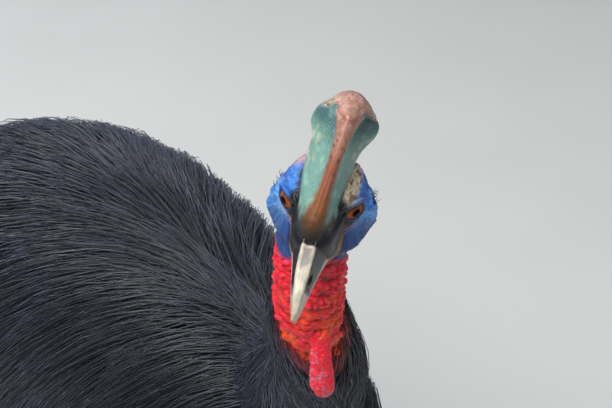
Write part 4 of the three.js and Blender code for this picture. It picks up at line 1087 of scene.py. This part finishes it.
def bill_section(v, upper):
    """Half an outline of the bill at v: how far left and how far up its corners are."""
    width, top, mouth = along(BILL_WIDTH, v), along(BILL_TOP, v), along(BILL_MOUTH, v)
    if upper:
        mouth = mouth + MOUTH_GAP / 2
        ridge = np.minimum(CULMEN_HALF, 0.6 * width)
        left = [0 * width, ridge, 0.6 * width + 0.4 * ridge, width, width - 0.8, 0 * width]
        rise = [top, top - 1, 0.55 * top + 0.45 * mouth, mouth + 1.6, mouth, mouth]
    else:
        mouth = mouth - MOUTH_GAP / 2
        width = 0.92 * width
        chin = np.minimum(along(CHIN, v), mouth - 1.5)
        left = [0 * width, width - 0.6, width, 0.7 * width, 0 * width]
        rise = [mouth, mouth, mouth - 0.8, 0.4 * mouth + 0.6 * chin, chin]
    return left, rise


def nostril(forward, high):
    """One at the middle of a nostril, falling to zero at its oval edge."""
    ahead = forward - NOSTRIL_AT[0]
    above = high - NOSTRIL_AT[2] + NOSTRIL_SLOPE * ahead
    return 1 - smooth((ahead / NOSTRIL_LONG) ** 2 + (above / NOSTRIL_TALL) ** 2, 0.25, 1)


def bill_point(upper, tip, u, v):
    """Half a bill: half outlines from the ridge to the mouth's edge, mirrored, along its length."""
    left, rise = bill_section(v * tip, upper)
    forward = BILL_ROOT + (BILL_TIP - BILL_ROOT) * v * tip
    out = np.maximum(across_values(left, halved(u)), 0)
    high = across_values(rise, halved(u))
    if upper:
        out = out - NOSTRIL_DEEP * nostril(forward, high) * (out > 1)
    return in_head(forward, out * np.where(u < 0.5, 1, -1), high)


def tint_bill(points, u, v, upper):
    """The colour of each point of half a bill: black, with a pale ridge, pale mouth edges, a pale tip and
    painted shade in the nostrils.
    """
    half = halved(u)
    wobble = 0.04 * noise(points, 6, 101)
    if upper:
        ridge = 1 - smooth(half + 0.5 * wobble, 0.2, 0.25)
        ridge = ridge * smooth(v + 0.3 * wobble, CULMEN_START, CULMEN_START + 0.02)
        edge = smooth(half + wobble, 0.55, 0.62) * smooth(v, 0.1, 0.3)
    else:
        ridge = 0 * half
        edge = (1 - smooth(half + wobble, 0.5, 0.6)) * smooth(v, 0.1, 0.3)
    light = np.maximum(np.maximum(ridge, 0.75 * edge), smooth(v + 2 * wobble, 0.7, 0.86))
    tint = blend(light, BILL_BLACK, blend(smooth(noise(points, 5, 102), -0.3, 0.6), IVORY, BILL_GREY))
    tint = blend(light * 0.6, tint, IVORY)
    if not upper:
        return tint
    grey = (1 - smooth(half + wobble, 0.09, 0.15)) * smooth(v, CULMEN_START + 0.03, CULMEN_START + 0.06)
    tint = blend(0.85 * grey * (1 - smooth(v + 2 * wobble, 0.58, 0.76)), tint, BILL_GREY)
    forward, _, high = head_place(points)
    # Painted shade: the nostril's hollow is painted near black.
    return blend(1.5 * nostril(forward, high) * smooth(half, 0.2, 0.24), tint, NOSTRIL_SHADE)


IVORY = (0.52, 0.47, 0.37)
BILL_GREY = (0.20, 0.19, 0.18)
BILL_BLACK = (0.006, 0.006, 0.008)
NOSTRIL_SHADE = (0.002, 0.002, 0.002)
BILL_AROUND, BILL_STEPS = 120, 96
bill_shader = Shader("bill_horn", coat_weight=0.2, coat_roughness=0.12, specular_ior_level=0.35)
bill_shader.emboss(bill_shader.mottle(300.0, 3.0, 0.35, (0.3, 1.6), (0.22, 0.25)), 0.0005, 0.5)
for name, upper, tip in (("bill_top", True, 1.0), ("bill_bottom", False, 0.95)):
    points, triangles = skin(lambda u, v: bill_point(upper, tip, u, v), BILL_AROUND, BILL_STEPS, False)
    piece = build(name, points, triangles, bill_shader.material, "bill_horn")
    paint(piece, tint=tint_bill(points, *corner_shares(BILL_AROUND, BILL_STEPS), upper))
    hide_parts("bill_upper" if upper else "bill_lower")

# Under the coat: one dark skin over body, tail, neck and thighs.
UNDER_CELL = 9
DOWN_BLACK = (0.004, 0.004, 0.006)
DOWN_GREY = (0.012, 0.012, 0.016)


def feathered_neck(u, v):
    """The neck's core from its root to the collar."""
    return neck_point(NECK_CORE, u, v * collar(u))


def thigh(side):
    """The core of one thigh as a function of u and v."""
    return lambda u, v: limb_point(side, THIGH_LINE, THIGH_RADIUS, u, v)


under_shapes = [skin(body_point, 96, 96), skin(feathered_neck, 48, 40)]
under_shapes += [skin(thigh(side), 40, 40) for side, _ in SIDES]
under_shader = Shader("under_down", roughness=0.9)
under_shader.speckle(60.0, 3.0, DOWN_BLACK, DOWN_GREY)
points, triangles = fused("under", under_shapes, UNDER_CELL, 6)
under = build("skin_under_coat", points, triangles, under_shader.material, "plumage")
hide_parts("torso", "tail", "neck_feathered", "thigh_left", "thigh_right")

# Legs: each one skin from under the thigh's coat to the toes, with raised plates in front.
SCUTES = 26
TOE_SCUTES = {"inner": 9, "middle": 15, "outer": 11}
PLATE_RISE = 1.5
TOE_SWELL = 0.07
TOE_BLUNT = 0.1
CLAW_SUNK = 10
CLAW_TIP_UP = 1.5
CLAW_ARCH = 6
CLAW_DEEPER = 1.1
PAD_LONGER = 1.15
LEG_CELL = 1.7
SCALE_DARK = (0.10, 0.095, 0.075)
SCALE_PALE = (0.24, 0.22, 0.17)
SCALE_EDGE = (0.035, 0.032, 0.027)
CLAW_DARK = (0.012, 0.011, 0.010)
CLAW_PALE = (0.06, 0.052, 0.042)


def plates(count, u, v):
    """How far overlapping plates stand out in front of a limb: each rises slowly to its lower lip."""
    lip = v * count - np.floor(v * count)
    shape = lip ** 0.7 * (1 - smooth(lip, 0.93, 1.0))
    return PLATE_RISE * shape * smooth(np.cos(2 * np.pi * u), 0.05, 0.45)


def foot_middle(side, height=0):
    """The place under the ankle where the toes meet, at a height."""
    return np.array([side * (LEG_APART + PAD_AT[0]), PAD_AT[1] + side * STRIDE, height])


def toe_point(side, toe, u, v):
    """A toe: rings round a line over the floor, with swollen joints and plates on top. u = 0 is its top."""
    turn, length, radius, _, _ = TOES[toe]
    ahead, across = level_axes(turn * side)
    plain = radius * (1 - TOE_TAPER * v)
    ring = plain * (1 + TOE_SWELL * np.cos(6 * np.pi * v)) * blunt(v, TOE_BLUNT)
    ring = ring + plates(TOE_SCUTES[toe], u, v) * blunt(v, TOE_BLUNT)
    phi = 2 * np.pi * u
    high = plain - TOE_PRESS + ring * np.cos(phi)
    return (foot_middle(side) + times(length * v, ahead) + times(ring * np.sin(phi), across)
            + times(np.maximum(high, 0.0), UPWARD))


def claw_point(side, toe, u, v):
    """A claw: rings that narrow to a point close over the floor, along an arched line."""
    turn, length, radius, claw, claw_radius = TOES[toe]
    ahead, across = level_axes(turn * side)
    ring = claw_radius * (1 - v) ** 0.7 + 0.8 * (1 - smooth(v, 0.9, 1))
    high = radius * (1 - TOE_TAPER) - TOE_PRESS + 1
    phi = 2 * np.pi * u
    up = high + (CLAW_TIP_UP - high) * v + CLAW_ARCH * np.sin(np.pi * v) + CLAW_DEEPER * ring * np.cos(phi)
    reach = length - CLAW_SUNK + (claw + CLAW_SUNK) * v
    return (foot_middle(side) + times(reach, ahead) + times(ring * np.sin(phi), across)
            + times(np.maximum(up, 0), UPWARD))


scale_shader = Shader("scaly_skin")
plate_cells = scale_shader.edges(260.0)
dirt = scale_shader.noise(40.0, 4.0)
scale_tint = scale_shader.mix(dirt, SCALE_DARK, SCALE_PALE)
scale_shader.set("Base Color", scale_shader.mix(plate_cells.between(0.0, 0.09), SCALE_EDGE, scale_tint))
scale_shader.set("Roughness", 0.45 + 0.25 * dirt)
scale_shader.emboss(plate_cells.between(0.0, 0.12), 0.0009, 0.8)
claw_shader = Shader("claw_horn", roughness=0.35)
claw_shader.emboss(claw_shader.speckle(120.0, 3.0, CLAW_DARK, CLAW_PALE), 0.0008, 0.5)
for side, name in SIDES:
    def shank(u, v):
        """The tarsus: rings round its line, with plates in front."""
        return limb_point(side, TARSUS_LINE, TARSUS_RADIUS, u, v, plates(SCUTES, u, v))

    def pad(u, v):
        """The pad under the ankle: a ball, a little longer than wide, cut flat by the floor."""
        theta, phi = np.pi * v, 2 * np.pi * u
        wide, long = np.sin(theta) * np.cos(phi), PAD_LONGER * np.sin(theta) * np.sin(phi)
        place = PAD_RADIUS * np.stack([wide, long, np.cos(theta)], -1) + foot_middle(side, PAD_AT[2])
        return place * (1 - UPWARD) + np.maximum(place[..., 2:], 0.0) * UPWARD

    shapes = [skin(shank, 72, 420, False), skin(pad, 48, 32)]
    shapes += [skin(lambda u, v: toe_point(side, toe, u, v), 48, 150, False) for toe in TOES]
    points, triangles = fused(f"leg_{name}", shapes, LEG_CELL, 2)
    points[:, 2] = np.maximum(points[:, 2], 0)
    leg = build(f"leg_skin_{name}", points, triangles, scale_shader.material, "scales")
    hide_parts(f"tarsus_{name}", f"foot_{name}", *(f"toe_{toe}_{name}" for toe in TOES))
    for toe in TOES:
        points, triangles = skin(lambda u, v: claw_point(side, toe, u, v), 32, 48, False)
        claw = build(f"claw_{toe}_{name}_curved", points, triangles, claw_shader.material, "claws")
        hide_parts(f"claw_{toe}_{name}")

# Coat: strands in tufts that follow the lie, each a closed sliver of three sides.
STRAND_STEPS = 4
STRAND_WIDTH = np.array([0.75, 1.0, 0.85, 0.5])
TUFT_STRANDS = 9
TUFT_ROOT = 10.0
TUFT_TIP = 5.5
BAKE_PATCH = 0.003
COAT_BLACK = (0.001, 0.001, 0.0016)
COAT_SHEEN = (0.006, 0.007, 0.012)
COAT_TIP = (0.014, 0.012, 0.012)
COAT_WARM = (0.55, 0.035, 0.006)
REACH_SPAN = (0.8, 1.15)
LIFT_SPAN = (0.55, 1.0)
WIDTH_SPAN = (0.7, 1.25)
SLIDE_SPAN = (-0.12, 0.0)
TRIM_SPAN = (0.82, 1.0)
ROLL_SPAN = (-0.7, 0.7)
STRAND_WAVE = 1.6
SURFACE_STEP = 0.004
RUN_STEP = 0.002
STRAND_SUNK = 3
TIP_DROP = 0.4
STRAND_CREST = 0.6


def outward(surface, u, v):
    """The outward direction of a tube: round it crossed with along it."""
    round_it = surface(u + SURFACE_STEP, v) - surface(u - SURFACE_STEP, v)
    along_it = surface(u, np.minimum(v + SURFACE_STEP, 1)) - surface(u, np.maximum(v - SURFACE_STEP, 0))
    return unit(np.cross(round_it, along_it))


def run(surface, lie, side, u, v, length, depth, low, high):
    """Paths over a surface from (u, v) along its lie, that rise from under it towards their tips.

    Each step adds the lie's share round and along the surface to u and v. Past low or high it is straight."""
    path, across, rise = [], [], []
    past = np.zeros((len(u), 3))
    step = length / STRAND_STEPS
    for t in np.arange(STRAND_STEPS + 1) / STRAND_STEPS:
        normal = outward(surface, u, v) * side
        flow = square_to(normal, lie(u, v))
        drop = 1 - TIP_DROP * max(0, 2 * t - 1) ** 2
        lift = depth * (1 - (1 - t) ** 2) * drop - STRAND_SUNK * (1 - t)
        path.append(surface(u, v) + times(lift, normal) + past)
        across.append(np.cross(flow, normal))
        rise.append(normal)
        du = (surface(u + RUN_STEP, v) - surface(u - RUN_STEP, v)) / (2 * RUN_STEP)
        dv = (surface(u, v + RUN_STEP) - surface(u, v - RUN_STEP)) / (2 * RUN_STEP)
        onward = (flow * dv).sum(1) / np.maximum((dv * dv).sum(1), 1.0) * step
        following = np.clip(v + onward, low, high)
        kept = np.where(np.abs(onward) > 1e-9, (following - v) / np.where(onward == 0, 1, onward), 1)
        u = u + (flow * du).sum(1) / np.maximum((du * du).sum(1), 1.0) * step * kept
        past = past + times((1 - kept) * step, flow)
        v = following
    return np.stack(path, 1), np.stack(across, 1), np.stack(rise, 1)


def scatter(random, surface, count, low, high):
    """Random places (u, v) spread evenly over a tube's area: v is drawn by the area of each ring."""
    v = np.linspace(low, high, 60)
    u = np.linspace(0, 1, 25)
    uu, vv = np.meshgrid(u, v, indexing="ij")
    place = surface(uu.ravel(), vv.ravel()).reshape(25, 60, 3)
    girth = np.linalg.norm(np.diff(place, axis=0), axis=2).sum(0)
    reach = np.linalg.norm(np.diff(place, axis=1), axis=2).mean(0)
    area = np.concatenate([[0], np.cumsum(0.5 * (girth[1:] + girth[:-1]) * reach)])
    chosen = np.interp((np.arange(count) + random.random(count)) / count * area[-1], area, v)
    return random.random(count), chosen


def slivers(path, flat, crest, width):
    """Closed slivers along paths: a ring of three corners at each step, a closed root and a pointed tip."""
    total = len(path)
    wide = width[:, None, None] * STRAND_WIDTH[None, :, None] / 2
    body = path[:, :-1]
    one = body + wide * flat[:, :-1]
    two = body - wide * flat[:, :-1]
    three = body + STRAND_CREST * wide * crest[:, :-1]
    rings = np.stack([one, two, three], 2).reshape(total, -1, 3)
    points = np.concatenate([rings, path[:, -1:]], 1)
    each = points.shape[1]
    cell = []
    for j in range(STRAND_STEPS - 1):
        for i in range(3):
            a, b = 3 * j + i, 3 * j + (i + 1) % 3
            cell += [(a, b, b + 3), (a, b + 3, a + 3)]
    last, tip = 3 * (STRAND_STEPS - 1), each - 1
    cell += [(last, last + 1, tip), (last + 1, last + 2, tip), (last + 2, last, tip), (0, 2, 1)]
    cell = outward_triangles(points[0] - points[0].mean(0), np.array(cell))
    return points.reshape(-1, 3), (cell[None] + each * np.arange(total)[:, None, None]).reshape(-1, 3)


def coat(name, surface, lie, side, count, low, high, length, depth, width, seed, warm=None, ends=(0.02, 0.97),
         spread=1.0):
    """Tufts of strands over a tube: each strand starts near its tuft's root and leans to the tuft's path."""
    random = np.random.default_rng(seed)
    u, v = scatter(random, surface, count, low, high)
    reach = length(v) * random.uniform(*REACH_SPAN, len(u))
    lift = depth * random.uniform(*LIFT_SPAN, len(u))
    guide, across, rise = run(surface, lie, side, u, v, reach, lift, *ends)
    tuft = np.repeat(np.arange(len(u)), TUFT_STRANDS)
    total = len(tuft)
    aside = random.normal(0, 1, (total, 2))
    shade = np.repeat(random.random(len(u)), TUFT_STRANDS) * 0.6 + random.random(total) * 0.4
    t = np.linspace(0, 1, STRAND_STEPS + 1)
    open_out = (TUFT_ROOT * (1 - t) + TUFT_TIP * t)[None, :, None] / spread
    wave = random.normal(0, 1, (total, 1, 1)) * STRAND_WAVE * np.sin(np.pi * 2 * t + 1)[None, :, None]
    sway = (aside[:, :1, None] * open_out + wave) * across[tuft]
    heave = aside[:, 1:, None] * (1.2 + 0.6 * t)[None, :, None] * rise[tuft]
    slide = random.uniform(*SLIDE_SPAN, (total, 1, 1))
    path = guide[tuft] + sway + heave
    path = path + slide * (path[:, -1:] - path[:, :1])
    trimmed = random.uniform(*TRIM_SPAN, (total, 1))
    path[:, -1] = path[:, -2] + (path[:, -1] - path[:, -2]) * trimmed
    roll = random.uniform(*ROLL_SPAN, (total, 1, 1))
    flat = across[tuft] * np.cos(roll) + rise[tuft] * np.sin(roll)
    crest = rise[tuft] * np.cos(roll) - across[tuft] * np.sin(roll)
    points, triangles = slivers(path, flat, crest, width * random.uniform(*WIDTH_SPAN, total))
    each = len(points) // total
    piece = build(name, points, triangles, coat_shader.material, "plumage")
    along_t = np.concatenate([np.repeat(t[:-1], 3), [1.0]])
    glow = np.zeros(total) if warm is None else warm(u, v)[tuft] * random.random(total)
    paint(piece, shade=np.repeat(shade, each), along=np.tile(along_t, total), warm=np.repeat(glow, each))
    root = np.stack([u[tuft] % 1.0, v[tuft]], 1)
    corners = np.append(np.tile([0, 1, 0.5], STRAND_STEPS), 0.5)
    patch = np.stack([np.tile(corners, total), np.tile(along_t, total)], 1)
    place = np.clip(np.repeat(root, each, axis=0), 0.002, 0.995) + BAKE_PATCH * patch
    layer = piece.data.uv_layers.new(name="OFBake")
    layer.data.foreach_set("uv", place[triangles.ravel()].astype(np.float32).ravel())


coat_shader = Shader("coat_strands", sheen_weight=0.25, sheen_roughness=0.4, specular_ior_level=0.6,
                     sheen_tint=(0.55, 0.65, 1.0, 1.0))
strand_shade = coat_shader.value("shade")
toward_tip = coat_shader.value("along")
coat_tint = coat_shader.mix(strand_shade, COAT_BLACK, COAT_SHEEN)
coat_tint = coat_shader.mix(toward_tip * 0.2, coat_tint, COAT_TIP)
coat_tint = coat_shader.mix(coat_shader.value("warm"), coat_tint, COAT_WARM)
coat_shader.set("Base Color", coat_tint)
coat_shader.set("Roughness", 0.30 + 0.2 * strand_shade)


def collar_skin(u, v):
    """The bare neck's lower edge, where the last feathers stand: v runs up from just under the collar."""
    return neck_point(NECK_BARE, u, collar(u) - 0.012 + 0.055 * v, 2)


def body_lie(u, v):
    """Back along the body and down its flanks, less so under the belly and at the breast."""
    flank = 1 - smooth(-np.cos(2 * np.pi * u), 0.3, 0.95)
    return heading(BODY_LINE, v) + times(-BODY_HANG * flank * smooth(v, 0, 0.25), UPWARD)


def neck_lie(u, v):
    """Down along the neck, a little back and a little more down."""
    return -heading(NECK_LINE, v) + np.array([0, 0.2, -0.4])


def thigh_lie(side):
    """Down along one thigh and a little more down, as a function of u and v."""
    return lambda u, v: heading(THIGH_LINE, v) * np.array([side, 1, 1]) + np.array([0, 0, -0.3])


def body_strand(v):
    """The length of the strands along the body: shorter towards the rump."""
    return 190 - 60 * smooth(v, 0.6, 0.95)


def neck_strand(v):
    """The length of the strands up the neck: short at the collar."""
    return 95 - 60 * smooth(v, 0.6, 1.0)


def collar_warm(u, v):
    """How much of the last feathers is orange: those in front."""
    return 0.9 * smooth(np.cos(2 * np.pi * u), -0.1, 0.6)


COAT_PARTS = [("shoulders", 0.005, 0.22), ("fore_back", 0.22, 0.38), ("mid_back", 0.38, 0.54),
              ("hind_back", 0.54, 0.7), ("rump", 0.7, 0.96)]
for number, (part, low, high) in enumerate(COAT_PARTS):
    coat(f"coat_{part}", body_point, body_lie, 1, 980, low, high, body_strand, COAT_DEPTH, 1.8, 300 + number)
coat("coat_neck", feathered_neck, neck_lie, 1, 980, 0.25, 1.0, neck_strand, 7, 1.3, 403)
coat("coat_collar", collar_skin, neck_lie, 1, 400, 0.0, 1.0, lambda v: 38, 4, 0.9, 500, collar_warm,
     ends=(-0.5, 1.0), spread=3.0)
for side, name in SIDES:
    coat(f"coat_thigh_{name}", thigh(side), thigh_lie(side), side, 520, 0.1, 0.93, lambda v: 105, 12, 2.2,
         410 + side, ends=(0.02, 0.96))

# Bristles: short dark hairs that lie back over the head, with a denser tuft round each ear.
BRISTLE_WIDTH = 0.42
BRISTLE_SUNK = 0.6
BRISTLE_STRAY = 0.35


def bristles(name, share, count, length, lift, seed):
    """Single hairs from random points of the skin, more where share is high, that bend back along the head."""
    random = np.random.default_rng(seed)
    root = random.choice(len(head_points), count, p=share / share.sum())
    outward_there = normals(head_points, head_triangles)[root]
    back = unit(in_head(-1, 0, 0.1) - HEAD_AT) + BRISTLE_STRAY * random.normal(0, 1, (count, 3))
    back = square_to(outward_there, back)
    t = np.linspace(0, 1, STRAND_STEPS + 1)[None, :, None]
    reach = length * random.uniform(0.6, 1.2, (count, 1, 1))
    rise = (lift * np.sin(0.8 * np.pi * t) * reach - BRISTLE_SUNK) * outward_there[:, None]
    path = head_points[root][:, None] + reach * t * back[:, None] + rise
    flat = np.repeat(np.cross(back, outward_there)[:, None], STRAND_STEPS + 1, axis=1)
    crest = np.repeat(outward_there[:, None], STRAND_STEPS + 1, axis=1)
    points, triangles = slivers(path, flat, crest, BRISTLE_WIDTH * random.uniform(0.7, 1.2, count))
    build(name, points, triangles, bristle_shader.material, "plumage")


bristle_shader = Shader("bristle_black", roughness=0.5, base_color=(0.004, 0.004, 0.006, 1.0))
marks = head_marks
behind = marks.on_head * (1 - smooth(marks.forward, 5, 25)) * smooth(marks.up, -12, 4) + 1e-9
behind = behind * (np.abs(marks.left) > 18) * (1 - marks.ring) * (1 - marks.crust)
bristles("bristles_head", behind, 190, 4.8, 0.08, 601)
bristles("bristles_ear", marks.ear * (marks.ear > 0.25), 130, 9.0, 0.45, 602)

# Wings: a small stub at each flank with long bare quills that fan out behind it.
WING_REACH = (0.02, 0.1)
WING_SUNK = 8
WING_OUT = 35
WING_RADIUS = 19
WING_TAPER = 0.45
WING_BLUNT = 0.3
WING_QUILLS = 5
QUILL_FROM = 0.8
QUILL_LENGTH = 250
QUILL_RADIUS = 3
QUILL_TAPER = 0.7
QUILL_FAN = 0.07
QUILL_DROOP = 0.05
QUILL_OUT = 33
QUILL_BOW = 6
QUILL_SHORTER = 0.5
BODY_LENGTH = 900


def bar(line, radius, around, rows):
    """A closed tube round line(t) with radius(t): its rings stand square to the line."""
    t = np.linspace(0, 1, rows)
    middle = line(t)
    ahead = unit(np.gradient(middle, axis=0))
    across = unit(np.cross(ahead, UPWARD))
    upright = np.cross(across, ahead)
    phi = np.arange(around) / around * 2 * np.pi
    spoke = on_ring(0, phi[None], 1, across[:, None], upright[:, None])
    return tube(middle[:, None] + radius(t)[:, None, None] * spoke)


quill_shader = Shader("quill_horn", roughness=0.3)
quill_shader.speckle(30.0, 2.0, (0.004, 0.003, 0.003), (0.018, 0.013, 0.010))
for side, name in SIDES:
    start = (1 - side) / 2 + side * WING_ROOT[0]

    def stub(t):
        """The wing's own line: out of the flank and back along it."""
        out = (WING_SUNK + WING_OUT) * smooth(t, 0, QUILL_FROM) - WING_SUNK
        return body_point(start + side * WING_REACH[0] * t, WING_ROOT[1] + WING_REACH[1] * t, out)

    def stub_radius(t):
        """The stub's radius: it tapers, and its ends are blunt but not quite closed."""
        return WING_RADIUS * (1 - WING_TAPER * t) * blunt(0.05 + 0.9 * t, WING_BLUNT)

    shapes = [bar(stub, stub_radius, 24, 40)]
    for i in range(WING_QUILLS):
        spread = (i - (WING_QUILLS - 1) / 2) / WING_QUILLS
        reach = QUILL_LENGTH / BODY_LENGTH * (1 - QUILL_SHORTER * abs(spread))

        def quill(t):
            """One quill's line: back from the stub, fanned by its spread, drooping and bowed outward."""
            round_it = start + side * (WING_REACH[0] + (QUILL_FAN * spread + QUILL_DROOP) * t)
            v = WING_ROOT[1] + QUILL_FROM * WING_REACH[1] + reach * t
            return body_point(round_it, v, QUILL_OUT + QUILL_BOW * np.sin(np.pi * t))

        shapes.append(bar(quill, lambda t: QUILL_RADIUS * (1 - QUILL_TAPER * t), 10, 40))
    wing = build(f"wing_quills_{name}", *together(shapes), quill_shader.material, "quills")
    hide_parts(f"wing_{name}")
